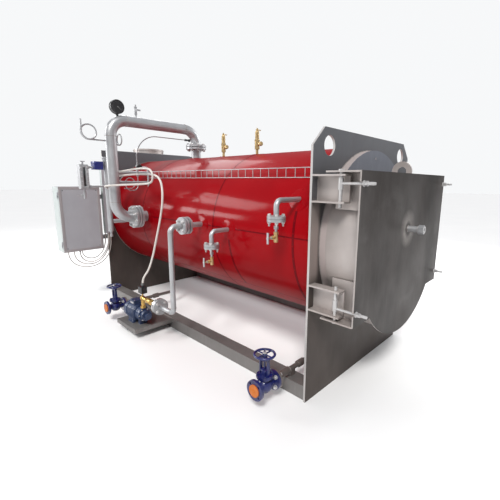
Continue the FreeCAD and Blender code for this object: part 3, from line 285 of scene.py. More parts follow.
def bright_steel():
    """Ground and wire-brushed steel with faint heat tint and finger marks."""
    return layered("bright_steel_ground", (0.5, 0.455, 0.435), 0.46, [
        ((0.37, 0.325, 0.305), 3.2, 0.7), ((0.58, 0.55, 0.54), 9.0, 0.3, (1, 1, 0.4), 0.5, 0.72),
        ((0.31, 0.25, 0.22), 1.6, 0.35, None, 0.58, 0.75)],
        (0.4, 0.56, 7.0), (0.06, 0.0015, 90, (1, 1, 0.25)), metal=0.62).material


def red_cladding(name="red_gloss_sheet", shade=1.0, wave=0.25):
    """Gloss paint on thin sheet that is slightly uneven, with painted shade that darkens it towards the
    rear.
    """
    made = layered(name, (0.285 * shade, 0.0003, 0.0034), 0.45, [
        ((0.215 * shade, 0.0002, 0.0026), 1.4, 0.7),
        ((0.33 * shade, 0.0008, 0.005), 5.5, 0.25, (0.4, 1, 1), 0.5, 0.75)],
        (0.36, 0.48, 3.0), wave and (wave, 0.012, 1.7, (0.5, 1, 1), 1.0),
        coat=0.17, coat_rough=0.11, specular=0.02)
    # painted shade: the sheet darkens from x = -0.5 m towards the rear end at -2.6 m
    made.over((0.11 * shade, 0.0002, 0.0016), made.times(made.axis("X", -0.5, -2.6), 0.45))
    return made.material


def pipe_steel(name="pipe_satin_steel", base=(0.455, 0.46, 0.472), metal=0.72):
    """Pipework in satin steel with soft blotches."""
    warm = (base[0] * 0.72, base[1] * 0.65, base[2] * 0.62)
    return layered(name, base, 0.42, [
        (tint(base, 0.8), 4.0, 0.6), (tint(base, 1.18), 12.0, 0.35, None, 0.5, 0.7),
        (warm, 7.0, 0.25, None, 0.6, 0.78)], (0.36, 0.5, 10.0), (0.03, 0.001, 140), metal=metal).material


def brass(name="brass_cast", base=(0.58, 0.42, 0.2)):
    return layered(name, base, 0.4, [
        (tint(base, 0.7), 18, 0.5), ((0.72, 0.6, 0.38), 45, 0.35, None, 0.5, 0.7)],
        (0.34, 0.5, 26), (0.08, 0.001, 160), metal=0.85).material


def enamel(name, base, deep, pale, rough=0.28, coat=0.6, grain=0.1):
    """Thick paint on a casting: pooled in hollows, worn paler in spots."""
    return layered(name, base, rough, [(deep, 14, 0.8), (pale, 60, 0.35, None, 0.56, 0.78)],
                   (rough * 0.8, rough * 1.6, 22), (grain, 0.001, 110), coat=coat).material


def cabinet_paint(name="cabinet_powder_coat", base=(0.35, 0.348, 0.372)):
    """Pale powder coat with a fine orange peel, and painted light that makes its Y-facing sides paler."""
    made = layered(name, base, 0.42, [
        (tint(base, 0.88), 2.4, 0.7), (tint(base, 1.12), 7.0, 0.4, (1, 1, 0.5), 0.5, 0.7)],
        (0.36, 0.5, 9), (0.1, 0.0008, 420))
    # painted light: faces looking along Y are paler and greener, standing in for the lit sides
    made.over((0.47, 0.53, 0.51), made.times(made.facing("Y", 0.7, 0.95), 0.7))
    return made.material


def check_line():
    """Plated pipe that is brass between its two hexagons and over the pump."""
    made = layered("check_valve_brass", (0.62, 0.61, 0.61), 0.3, [((0.48, 0.46, 0.45), 9, 0.6)],
                   (0.24, 0.42, 22), (0.12, 0.001, 140), metal=0.93)
    body = made.flipped(made.axis("X", -1.4905, -1.4895))
    made.over((0.6, 0.4, 0.13), body)
    made.over((0.44, 0.27, 0.08), made.times(body, made.times(made.noise(24), 0.7)))
    return made.material


def probe_finish():
    """Level probe: plated nut, white body, yellow terminal head and dark tip."""
    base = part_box("probe_head")[0].z
    made = layered("probe_head_mixed", (0.66, 0.65, 0.64), 0.36, [((0.52, 0.51, 0.5), 26, 0.5)],
                   (0.28, 0.45, 30), (0.1, 0.0006, 200))
    for colour, rise in (((0.7, 0.68, 0.64), 0.021), ((0.66, 0.43, 0.06), 0.0515),
                         ((0.6, 0.58, 0.54), 0.0855), ((0.03, 0.03, 0.03), 0.1035)):
        made.over(colour, made.axis("Z", base + rise, base + rise + 0.001))
    return made.material


def black_plastic(name="black_moulded_plastic", base=(0.012, 0.012, 0.013)):
    return layered(name, base, 0.38, [((0.03, 0.03, 0.032), 30, 0.6)],
                   (0.28, 0.5, 40), (0.15, 0.0005, 420)).material


DOOR_FACE, SIGHT_Z = 0.3165, 1.115

PLATE = mill_plate("mill_plate_steel", cut=(0.55, 0.53, 0.52))
CLOSURE = mill_plate("closure_steel", (0.15, 0.155, 0.175), (0.165, 0.18, 0.215), (0.6, 0.52, 0.5))
RAIL = mill_plate("rail_mill_steel", (0.165, 0.157, 0.152), (0.18, 0.19, 0.2))
BOX_STEEL = mill_plate("smoke_box_steel", (0.17, 0.155, 0.148), (0.19, 0.2, 0.225))
DARK_PIPE = pipe_steel("pipe_mill_steel", (0.185, 0.16, 0.15), 0.5)
RED_SEAM, RED_COVER = red_cladding("red_gloss_seam", 0.45, 0), red_cladding("red_gloss_cover", 1.0, 0)
PIPE, BRIGHT, DOOR_STEEL, RED = pipe_steel(), bright_steel(), door_plate(), red_cladding()
BRASS, BLACK, CABINET = brass(), black_plastic(), cabinet_paint()
ZINC = layered("zinc_plated_bolts", (0.6, 0.59, 0.59), 0.38, [
    ((0.44, 0.43, 0.42), 22, 0.5), ((0.58, 0.55, 0.46), 25, 0.25, None, 0.58, 0.76)],
    (0.34, 0.48, 60), (0.05, 0.0006, 300), metal=0.65).material
WELD = layered("weld_bead_steel", (0.38, 0.35, 0.335), 0.48, [
    ((0.22, 0.19, 0.175), 40, 0.7), ((0.48, 0.46, 0.46), 110, 0.35, None, 0.5, 0.7)],
    (0.4, 0.56, 60), (0.15, 0.001, 240), metal=0.55).material
GASKET = layered("gasket_graphite", (0.03, 0.028, 0.027), 0.75, [((0.06, 0.055, 0.05), 60, 0.7)],
                 bump=(0.4, 0.0006, 300)).material
ROPE = layered("fibre_rope_seal", (0.6, 0.57, 0.52), 0.9, [((0.42, 0.39, 0.34), 60, 0.7)],
               bump=(0.6, 0.002, 160)).material
LINING = layered("door_fibre_lining", (0.55, 0.5, 0.43), 0.92, [
    ((0.4, 0.35, 0.29), 5, 0.8), ((0.68, 0.64, 0.57), 30, 0.5)], bump=(0.7, 0.004, 55)).material
SHEATH = layered("cable_sheath_beige", (0.6, 0.565, 0.53), 0.45, [
    ((0.5, 0.465, 0.43), 9, 0.7), ((0.7, 0.68, 0.66), 30, 0.4, None, 0.52, 0.74)],
    (0.38, 0.55, 18), (0.12, 0.0006, 300)).material
BLUE = enamel("valve_enamel_blue", (0.008, 0.013, 0.105), (0.004, 0.007, 0.06), (0.025, 0.04, 0.19),
              0.3, 0.45)
NAVY = enamel("pump_enamel_navy", (0.02, 0.038, 0.095), (0.012, 0.022, 0.06), (0.06, 0.085, 0.15),
              0.38, 0.25)
ORANGE = enamel("orange_plastic_cap", (0.52, 0.14, 0.01), (0.42, 0.105, 0.008), (0.6, 0.21, 0.03),
                0.45, 0.05)
BOX_BLUE = enamel("switch_box_blue", (0.01, 0.022, 0.17), (0.007, 0.014, 0.12), (0.03, 0.05, 0.24),
                  0.35, 0.3)
GLASS = enamel("gauge_glass_dark", (0.012, 0.016, 0.018), (0.008, 0.01, 0.012), (0.03, 0.04, 0.045),
               0.1, 0.8, 0.02)
PALE = enamel("dial_marks_pale", (0.26, 0.26, 0.25), (0.2, 0.2, 0.19), (0.32, 0.32, 0.31), 0.5, 0.05)
GLAND = black_plastic("gland_moulding", (0.1, 0.1, 0.1))
FRAME_PAINT = cabinet_paint("cabinet_frame_paint", (0.3, 0.275, 0.28))
DARK_STEEL = enamel("dark_fastener_steel", (0.05, 0.05, 0.05), (0.03, 0.03, 0.03), (0.12, 0.12, 0.12),
                    0.4, 0.05)

FINISH = {
    PLATE: ["front_end_plate", "rear_end_plate"],
    CLOSURE: ["front_closure_drum"],
    RAIL: ["base_rails", "pump_tray"],
    BOX_STEEL: ["smoke_box_top", "smoke_box_walls"],
    DARK_PIPE: ["blowdown_pipes"],
    DOOR_STEEL: ["door_face_plate"],
    BRIGHT: ["door_arms", "door_drum", "door_lifting_ring", "hinge_brackets_far", "hinge_brackets_near",
             "flue_collar"],
    PIPE: ["cable_tray", "level_drain_valve", "feed_nozzle", "feed_riser_pipe", "gauge_syphons",
           "instrument_tubing", "level_columns", "level_gauge", "level_pipes", "sample_branches",
           "sample_flanges", "steam_loop_pipe", "steam_nozzles", "vent_valve", "door_sight_tube"],
    ZINC: ["hinge_pins_near", "hinge_pins_far", "swing_bolts", "swing_bolt_nuts"],
    RED: ["boiler_shell"],
    BRASS: ["safety_valves", "sample_valves"],
    BLACK: ["black_fittings", "pressure_gauge"],
    BLUE: ["blowdown_valve_bodies", "blowdown_handwheel_front", "blowdown_handwheel_rear"],
    ORANGE: ["blowdown_caps"],
    NAVY: ["feed_pump", "pump_motor"],
    BOX_BLUE: ["level_switch_box"],
    CABINET: ["cabinet_case", "cabinet_door", "cabinet_fixings", "cable_duct"],
    check_line(): ["feed_check_line"],
    probe_finish(): ["probe_head"],
    LINING: ["door_lining"],
    black_plastic("gland_grey_plastic", (0.22, 0.22, 0.22)): ["cabinet_glands"],
}


def finish_nodes():
    for material, names in FINISH.items():
        for name in names:
            slots = nodes[name].data.materials
            for index in range(len(slots)):
                slots[index] = material
            if not slots:
                slots.append(material)


# ---- cords

# each cord: diameter, length, stiffness, lay and the points of its line in millimetres
CORDS = {
    "conduit_to_pump": (0.018, 1.686, "medium", "hanging", [
        (-2216, -865, 1465), (-2140, -865, 1465), (-2000, -800, 1480), (-1850, -758, 1482),
        (-1700, -748, 1474), (-1580, -765, 1438), (-1510, -785, 1350), (-1497, -800, 1215),
        (-1530, -816, 1060), (-1580, -830, 900), (-1625, -848, 740), (-1655, -880, 610),
        (-1674, -935, 540), (-1674, -935, 478)]),
    "conduit_loop": (0.018, 1.45, "medium", "loose", [
        (-2350, -890, 1330), (-2300, -890, 1330), (-2225, -950, 1343), (-2155, -1020, 1360),
        (-2065, -1035, 1370), (-1975, -965, 1378), (-1890, -875, 1384), (-1795, -812, 1389),
        (-1699, -790, 1399), (-1663, -788, 1435), (-1663, -790, 1487), (-1699, -795, 1523),
        (-1790, -802, 1531), (-1910, -812, 1528), (-2040, -838, 1516), (-2150, -865, 1503),
        (-2216, -865, 1503)]),
    "cabinet_cable_1": (0.012, 0.874, "medium", "hanging", [
        (-3040, -1130, 612), (-3040, -1130, 540), (-3030, -1070, 450), (-3015, -950, 405),
        (-2998, -815, 425), (-2984, -712, 520), (-2976, -678, 640), (-2974, -672, 745),
        (-2974, -672, 815)]),
    "cabinet_cable_2": (0.012, 0.746, "medium", "hanging", [
        (-3005, -1080, 612), (-3005, -1080, 555), (-3000, -1030, 480), (-2992, -930, 440),
        (-2982, -825, 462), (-2972, -745, 545), (-2965, -702, 650), (-2962, -692, 748),
        (-2962, -692, 815)]),
    "cabinet_cable_3": (0.012, 0.635, "medium", "hanging", [
        (-2965, -1030, 612), (-2965, -1030, 562), (-2964, -990, 503), (-2960, -910, 473),
        (-2955, -830, 498), (-2950, -762, 572), (-2948, -720, 662), (-2948, -711, 750),
        (-2948, -711, 815)]),
    "cabinet_cable_4": (0.012, 0.554, "medium", "hanging", [
        (-3055, -980, 612), (-3055, -980, 565), (-3048, -945, 520), (-3033, -880, 500),
        (-3016, -812, 525), (-2998, -762, 590), (-2988, -738, 675), (-2984, -730, 755),
        (-2984, -730, 815)]),
}


def cords():
    for name, (diameter, length, stiffness, lay, points) in CORDS.items():
        points = [tuple(value / 1000 for value in point) for point in points]
        data = bpy.data.curves.new(name + "_line", "CURVE")
        data.dimensions = "3D"
        data.bevel_depth, data.bevel_resolution = diameter / 2, 5
        data.resolution_u = 10
        data.use_fill_caps = True
        spline = data.splines.new("NURBS")
        spline.points.add(len(points) - 1)
        for point, spot in zip(spline.points, points):
            point.co = (*spot, 1)
        spline.order_u = 3
        spline.use_endpoint_u = True
        made = bpy.data.objects.new(name + "_line", data)
        data.materials.append(SHEATH)
        bpy.context.collection.objects.link(made)
        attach(made, "root")
        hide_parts(name)


# ---- mesh building

AXES = {"X": (V((1, 0, 0)), V((0, 1, 0)), V((0, 0, 1))),
        "Y": (V((0, 1, 0)), V((1, 0, 0)), V((0, 0, 1))),
        "Z": (V((0, 0, 1)), V((1, 0, 0)), V((0, 1, 0)))}


def polar(axis, centre, radius, degrees):
    """The point at a radius and an angle round an axis through centre."""
    _, across, over = AXES[axis]
    angle = math.radians(degrees)
    return V(centre) + across * (radius * math.cos(angle)) + over * (radius * math.sin(angle))


class Build:
    """One mesh put together from turned, drawn and boxed pieces."""

    def __init__(self):
        self.bm = bmesh.new()

    def ring(self, centre, across, over, radii):
        count = len(radii)
        made = []
        for step, radius in enumerate(radii):
            angle = 2 * math.pi * step / count
            made.append(self.bm.verts.new(centre + across * (radius * math.cos(angle))
                                          + over * (radius * math.sin(angle))))
        return made

    def skin(self, rings, closed=False, caps=True):
        pairs = list(zip(rings, rings[1:])) + ([(rings[-1], rings[0])] if closed else [])
        for first, second in pairs:
            for index in range(len(first)):
                after = (index + 1) % len(first)
                self.bm.faces.new((first[index], first[after], second[after], second[index]))
        if caps and not closed:
            self.bm.faces.new(rings[0][::-1])
            self.bm.faces.new(rings[-1])

    def turned(self, axis, centre, profile, sides=24, first=0.0, closed=False):
        """Turn (radius, distance) pairs about an axis through centre."""
        along, across, over = AXES[axis]
        turn = math.radians(first)
        u = across * math.cos(turn) + over * math.sin(turn)
        w = over * math.cos(turn) - across * math.sin(turn)
        self.skin([self.ring(V(centre) + along * distance, u, w, [radius] * sides)
                   for radius, distance in profile], closed)

    def rod(self, axis, centre, radius, low, high, sides=20, edge=0.0006):
        self.turned(axis, centre, [(radius - edge, low), (radius, low + edge), (radius, high - edge),
                                   (radius - edge, high)], sides)

    def hexagon(self, axis, centre, across, low, high, first=0.0):
        """A nut or bolt head with its corners chamfered."""
        corner, edge = across / math.sqrt(3), 0.12 * (high - low)
        self.turned(axis, centre, [(corner * 0.93, low), (corner, low + edge), (corner, high - edge),
                                   (corner * 0.93, high)], 6, first)

    def washer(self, axis, centre, inner, outer, low, high, sides=40):
        """A flat ring, closed round its section."""
        corners = [(inner, low), (outer, low), (outer, high), (inner, high)]
        self.turned(axis, centre, corners, sides, closed=True)

    def bead(self, points, radius, closed=False, sides=7, ripple=0.16, pitch=0.007):
        """A drawn bar along points; ripples make it a weld bead."""
        points = [V(point) for point in points]
        count = len(points)
        rings, travelled, side = [], 0.0, None
        for index, point in enumerate(points):
            before = points[(index - 1) % count] if closed or index else points[0]
            after = points[(index + 1) % count] if closed or index < count - 1 else points[-1]
            heading = (after - before).normalized()
            if side is None:
                side = heading.orthogonal().normalized()
            side = (side - heading * side.dot(heading)).normalized()
            over = heading.cross(side)
            if index:
                travelled += (point - points[index - 1]).length
            swell = 1 + ripple * math.sin(2 * math.pi * travelled / pitch)
            rings.append(self.ring(point, side, over, [radius * swell] * sides))
        self.skin(rings, closed)

    def weld_ring(self, axis, centre, pipe, radius=0.0022, span=(0, 360)):
        """A bead round a pipe, or along an arc of it."""
        arc = span[1] - span[0]
        whole = arc >= 360
        count = max(24, int(math.radians(arc) * pipe / 0.0025))
        spots = [polar(axis, centre, pipe, span[0] + arc * step / count)
                 for step in range(count if whole else count + 1)]
        self.bead(spots, radius, whole, 6)

    def weld_line(self, start, end, radius=0.0035):
        start, end = V(start), V(end)
        count = max(4, int((end - start).length / 0.0025))
        self.bead([start.lerp(end, step / count) for step in range(count + 1)], radius, False, 6)

    def box(self, low, high, edge=0.001):
        """A block with its edges broken."""
        low, high = V(low), V(high)
        made = bmesh.ops.create_cube(self.bm, size=1)["verts"]
        for vert in made:
            vert.co = V([low[i] if vert.co[i] < 0 else high[i] for i in range(3)])
        edges = {line for vert in made for line in vert.link_edges}
        if edge:
            bmesh.ops.bevel(self.bm, geom=list(edges), offset=edge, segments=2, affect="EDGES", profile=0.6)

    def dome(self, centre, facing, radius, height, sides=12):
        facing = V(facing).normalized()
        across = facing.orthogonal().normalized()
        over = facing.cross(across)
        rings = [self.ring(V(centre) + facing * (height * rise), across, over, [radius * wide] * sides)
                 for wide, rise in ((1, -0.3), (1, 0.15), (0.8, 0.65), (0.4, 0.95))]
        self.skin(rings)

    def finish(self, name, paint, body="root", slot=None, angle=35):
        bmesh.ops.recalc_face_normals(self.bm, faces=self.bm.faces)
        mesh = bpy.data.meshes.new(name)
        self.bm.to_mesh(mesh)
        self.bm.free()
        mesh.materials.append(paint)
        mesh.shade_smooth()
        mesh.set_sharp_from_angle(angle=math.radians(angle))
        made = bpy.data.objects.new(name, mesh)
        bpy.context.collection.objects.link(made)
        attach(made, body)
        return made


# ---- flange bolts, gaskets and welds

STEAM_X, STEAM_Z, STEAM_OUT, STEAM_TOP = -2.11, 1.063, -0.948, 1.976
FEED_X, FEED_Z, FEED_OUT, FEED_LOW = -1.16, 1.065, -0.935, 0.352
BRANCHES = ((-0.176, 1.309, 1.2), (-0.815, 1.054, 0.944))
BRANCH_OUT = -0.8
SAFETY_X = (-1.136, -1.626)
BLOWDOWNS = (("front", -0.164, -0.904), ("rear", -2.21, -0.98))
BLOW_Z = 0.15
SHELL, AXIS_Z = 0.636, 1.036


def bolt_circle(build, axis, centre, pitch, count, first, low, high, shank, across, tail=0.006):
    """Through bolts with a head at one end and a nut and tail at the other."""
    thick, washer = across * 0.55, 0.002
    for number in range(count):
        spot = polar(axis, centre, pitch, first + 360 / count * number)
        build.rod(axis, spot, shank, low - thick - tail, high + thick + 0.003, 12)
        for span in ((low - washer - thick, low - washer), (high + washer, high + washer + thick)):
            build.hexagon(axis, spot, across, *span, 17 * number)
        for span in ((low - washer, low), (high, high + washer)):
            build.rod(axis, spot, across * 0.62, *span, 20, 0.0003)


def flange_bolts():
    steam, feed, small = Build(), Build(), Build()
    for axis, centre, low, high in (("Y", (STEAM_X, 0, STEAM_Z), -0.786, -0.71),
                                    ("Z", (STEAM_X, 0, 0), 1.772, 1.82)):
        bolt_circle(steam, axis, centre, 0.09, 8, 22.5, low, high, 0.008, 0.024)
    steam.finish("steam_flange_bolts", ZINC, slot="bright_steel")
    for axis, centre, low, high in (("Y", (FEED_X, 0, FEED_Z), -0.838, -0.77),
                                    ("X", (0, FEED_OUT, FEED_LOW), -1.402, -1.364)):
        bolt_circle(feed, axis, centre, 0.05, 4, 45, low, high, 0.007, 0.021)
    feed.finish("feed_flange_bolts", ZINC, slot="bright_steel")
    for x, _, joint in BRANCHES:
        bolt_circle(small, "Z", (x, BRANCH_OUT, 0), 0.0425, 4, 45, joint - 0.018, joint + 0.016, 0.006,
                    0.019, 0.018)
    for _, x, y in BLOWDOWNS:
        bolt_circle(small, "Y", (x, 0, BLOW_Z), 0.05, 4, 45, y + 0.072, y + 0.108, 0.007, 0.022)
    small.finish("branch_flange_bolts", ZINC, slot="bright_steel")


def gaskets():
    made = Build()
    for low, high in ((-0.7655, -0.7625), (-0.7355, -0.7325)):
        made.washer("Y", (STEAM_X, 0, STEAM_Z), 0.0785, 0.085, low, high, 56)
    made.washer("Z", (STEAM_X, 0, 0), 0.0785, 0.085, 1.7945, 1.7975, 56)
    for low, high in ((-0.8215, -0.8185), (-0.7945, -0.7915)):
        made.washer("Y", (FEED_X, 0, FEED_Z), 0.0415, 0.0465, low, high)
    made.washer("X", (0, FEED_OUT, FEED_LOW), 0.0415, 0.0465, -1.3845, -1.3815)
    for x, _, joint in BRANCHES:
        made.washer("Z", (x, BRANCH_OUT, 0), 0.0335, 0.05, joint - 0.0018, joint - 0.0002)
    made.finish("flange_gaskets", GASKET, slot="pipe_steel")


def pipe_welds():
    made = Build()
    steam, feed, steam_bend, feed_bend = 0.0508, 0.0212, 0.152, 0.048
    for axis, spot in (
            ("Y", (STEAM_X, -0.7875, STEAM_Z)), ("Z", (STEAM_X, STEAM_OUT, STEAM_Z + steam_bend)),
            ("Z", (STEAM_X, STEAM_OUT, STEAM_TOP - steam_bend)),
            ("Y", (STEAM_X, STEAM_OUT + steam_bend, STEAM_TOP)),
            ("Y", (STEAM_X, -steam_bend, STEAM_TOP)), ("Z", (STEAM_X, 0, 1.8215)),
            ("Y", (STEAM_X, -0.7085, STEAM_Z)), ("Z", (STEAM_X, 0, 1.7705))):
        made.weld_ring(axis, spot, steam, 0.0024)
    for axis, spot in (
            ("Y", (FEED_X, -0.8395, FEED_Z)), ("Y", (FEED_X, FEED_OUT + feed_bend, FEED_Z)),
            ("Z", (FEED_X, FEED_OUT, FEED_Z - feed_bend)), ("Z", (FEED_X, FEED_OUT, FEED_LOW + feed_bend)),
            ("X", (FEED_X - feed_bend, FEED_OUT, FEED_LOW)), ("X", (-1.3625, FEED_OUT, FEED_LOW)),
            ("Y", (FEED_X, -0.7685, FEED_Z))):
        made.weld_ring(axis, spot, feed, 0.0018)
    for x, _, joint in BRANCHES:
        made.weld_ring("Z", (x, BRANCH_OUT, joint + 0.0172), 0.01685, 0.0018)
    for _, x, y in BLOWDOWNS:
        made.weld_ring("Y", (x, y + 0.1085, BLOW_Z), 0.026, 0.0022)
        made.weld_ring("Y", (x, y + 0.237, BLOW_Z), 0.0255, 0.0022)
    made.finish("pipe_weld_beads", WELD, slot="pipe_steel", angle=60)


# ---- cladding seams, cover plates and rivets

def on_shell(x, degrees, rise=0.0):
    """A point on the shell: the angle is measured up from the piping side's horizontal."""
    angle = math.radians(degrees)
    radius = SHELL + rise
    return V((x, -radius * math.cos(angle), AXIS_Z + radius * math.sin(angle)))


def strip(build, x, degrees, thick=0.0013):
    """A lapped strip of sheet between two x and two angles, with rolled edges."""
    across = [x[0], x[0] + 0.0012, x[1] - 0.0012, x[1]]
    rises = [-0.0006, thick, thick, -0.0006]
    count = max(2, int(abs(degrees[1] - degrees[0]) / 2))
    rows = []
    for step in range(count + 1):
        angle = degrees[0] + (degrees[1] - degrees[0]) * step / count
        low = 0.0 if 0 < step < count or degrees[1] - degrees[0] >= 360 else thick
        rows.append([build.bm.verts.new(on_shell(place, angle, rise - low))
                     for place, rise in zip(across, rises)])
    for first, second in zip(rows, rows[1:]):
        for index in range(3):
            build.bm.faces.new((first[index], first[index + 1], second[index + 1], second[index]))


def cover_plate(build, x, degrees, hole, outer, crown):
    """A round dished plate round a branch, lying on the shell."""
    sides = 56
    profile = [(hole, crown), (hole + (outer - hole) * 0.5, crown * 0.52), (outer - 0.003, 0.0016),
               (outer, 0.001), (outer + 0.0006, -0.0008)]
    rings = []
    for reach, rise in profile:
        ring = []
        for step in range(sides):
            turn = 2 * math.pi * step / sides
            ring.append(build.bm.verts.new(on_shell(
                x + reach * math.cos(turn), degrees + math.degrees(reach * math.sin(turn) / SHELL), rise)))
        rings.append(ring)
    build.skin(rings, caps=False)


def shell_normal(degrees):
    angle = math.radians(degrees)
    return V((0, -math.cos(angle), math.sin(angle)))


def lift(height):
    """The angle on the shell at a height above the floor."""
    return math.degrees(math.asin((height - AXIS_Z) / SHELL))


def cladding():
    """Lapped seams, dished plates round what goes through the shell, and their rivets."""
    seams, plates, rivets = Build(), Build(), Build()

    def rivet(x, degrees, rise=0.001, radius=0.0042):
        rivets.dome(on_shell(x, degrees, rise), shell_normal(degrees), radius, 0.0018)

    rings, middle = (-2.205, -1.01), -1.507
    for x in rings:
        strip(seams, (x - 0.006, x + 0.006), (-180, 180))
    for x in (-2.984, -0.03):
        strip(seams, (x - 0.008, x + 0.008), (-180, 180), 0.0016)
    for degrees in (2.3, -46.0, 178.0, 226.0):
        for span in ((-2.974, middle), (middle, -0.04)):
            strip(seams, span, (degrees - 0.45, degrees + 0.45), 0.0011)
        for number in range(19):
            rivet(-2.93 + 0.1585 * number, degrees)
    for x in rings:
        for number in range(30):
            rivet(x, 12 * number + 5)
    covers = [(x, lift(height), 0.0173, 0.08, 0.007) for x, height, _ in BRANCHES]
    covers += [(FEED_X, lift(FEED_Z), 0.0216, 0.085, 0.008), (STEAM_X, lift(STEAM_Z), 0.0512, 0.12, 0.009),
               (STEAM_X, 90, 0.0512, 0.115, 0.008)]
    covers += [(x, 90, 0.0135, 0.05, 0.005) for x in SAFETY_X]
    for x, degrees, hole, outer, crown in covers:
        cover_plate(plates, x, degrees, hole, outer, crown)
        reach = outer - 0.009
        for number in range(6):
            turn = math.radians(30 + 60 * number)
            tilt = degrees + math.degrees(reach * math.sin(turn) / SHELL)
            rivet(x + reach * math.cos(turn), tilt, 0.003, 0.0036)
    for x, height, _ in BRANCHES:
        top = lift(height) - 7
        strip(seams, (x - 0.01, x + 0.01), (-46.0, top), 0.0011)
        for number in range(5):
            rivet(x, top - 6 - 7.5 * number)
    seams.finish("cladding_seams", RED_SEAM, slot="red_cladding", angle=50)
    plates.finish("cladding_cover_plates", RED_COVER, slot="red_cladding", angle=50)
    rivets.finish("cladding_rivets", RED_COVER, slot="red_cladding", angle=60)


# ---- plate and door welds

def plate_welds():
    """Beads on the end plates, rails, brackets, smoke box and pump tray."""
    made = Build()
    front, inside, rear, back, top = 0.0095, -0.01, -2.9935, -3.0125, 1.7665
    for x in (inside, rear):
        made.weld_ring("X", (x, 0, AXIS_Z), SHELL + 0.0005, 0.0036)
    made.weld_ring("X", (0.009, 0, AXIS_Z), 0.6055, 0.0034)
    for side in (-1, 1):
        for z in (1.303, 1.463, 0.64, 0.803):
            made.weld_line((front, side * 0.698, z), (front, side * 0.637, z), 0.0028)
        for low, high in ((1.314, 1.452), (0.651, 0.792)):
            for y in (0.6345, 0.6455):
                made.weld_line((front, side * y, low), (front, side * y, high), 0.0028)
        for x in (inside, rear):
            made.weld_line((x, side * 0.575, 0.1005), (x, side * 0.685, 0.1005), 0.0032)
            made.weld_line((x, side * 0.6855, 0.004), (x, side * 0.6855, 0.1), 0.0032)
    for side in (-1, 1):
        made.weld_line((back, side * 0.5205, 0.562), (back, side * 0.5205, 1.771), 0.0032)
        made.weld_line((-3.4, side * 0.5185, top), (-3.012, side * 0.5185, top), 0.0028)
    made.weld_ring("Z", (-3.206, 0, 1.7725), 0.1905, 0.003)
    made.weld_line((-1.612, -0.6865, 0.1005), (-1.99, -0.6865, 0.1005), 0.003)
    made.finish("plate_weld_beads", WELD, slot="plate_steel", angle=60)


def door_welds():
    """Beads on the door's drum, arms, lifting ring and sight tube."""
    made = Build()
    back, drum = 0.3052, 0.619
    rise = math.degrees(math.asin((1.473 - AXIS_Z) / 0.618))
    made.weld_ring("X", (back, 0, AXIS_Z), drum, 0.0034, (180 - rise + 1, 360 + rise - 1))
    for side in (-1, 1):
        for low, high in ((1.267, 1.471), (0.622, 0.849)):
            for y in (0.5945, 0.6055):
                made.weld_line((back, side * y, low), (back, side * y, high), 0.0028)
        for z in (1.472, 0.621):
            made.weld_line((back, side * 0.607, z), (back, side * 0.698, z), 0.0026)
    for y in (-0.0065, 0.0065):
        made.weld_line((0.178, y, 1.4825), (0.307, y, 1.4825), 0.0026)
    made.weld_ring("X", (DOOR_FACE, 0, SIGHT_Z), 0.0205, 0.0028)
    made.finish("door_weld_beads", WELD, "door", "bright_steel", 60)


def door_details():
    """Fibre rope in the door's recess, the sight tube's lens and its lock ring."""
    rope = Build()
    count = 360
    spots = [polar("X", (0.0755, 0, AXIS_Z), 0.594, 134.5 + 271 * step / count) for step in range(count + 1)]
    rope.bead(spots, 0.0085, False, 10, 0.06, 0.016)
    rope.finish("door_rope_seal", ROPE, "door", "lining", 60)
    sight, lens = Build(), Build()
    centre, end = (0, 0, SIGHT_Z), 0.4218
    sight.washer("X", centre, 0.015, 0.0225, end - 0.0008, end + 0.0022, 40)
    sight.turned("X", centre, [(0.0255, end - 0.04), (0.0262, end - 0.038), (0.0262, end - 0.0352),
                               (0.0255, end - 0.0345)], 40)
    sight.finish("sight_tube_rings", ZINC, "door", "bright_steel")
    lens.turned("X", centre, [(0.0155, end - 0.0006), (0.015, end + 0.0008), (0.009, end + 0.0014),
                              (0.002, end + 0.0017)], 32)
    lens.finish("sight_tube_lens", GLASS, "door", "black_plastic")


def swing_threads():
    """Rolled thread on the ends of the swing bolts, past their nuts."""
    made = Build()
    for side in (-1, 1):
        for z in (1.413, 0.692):
            profile = []
            x = 0.3425
            while x < 0.3815:
                profile += [(0.0076, x), (0.0085, x + 0.001)]
                x += 0.002
            profile += [(0.007, 0.3828)]
            made.turned("X", (0, side * 0.674, z), profile, 20)
    made.finish("swing_bolt_threads", ZINC, "door", "bright_steel", 20)


# ---- valves

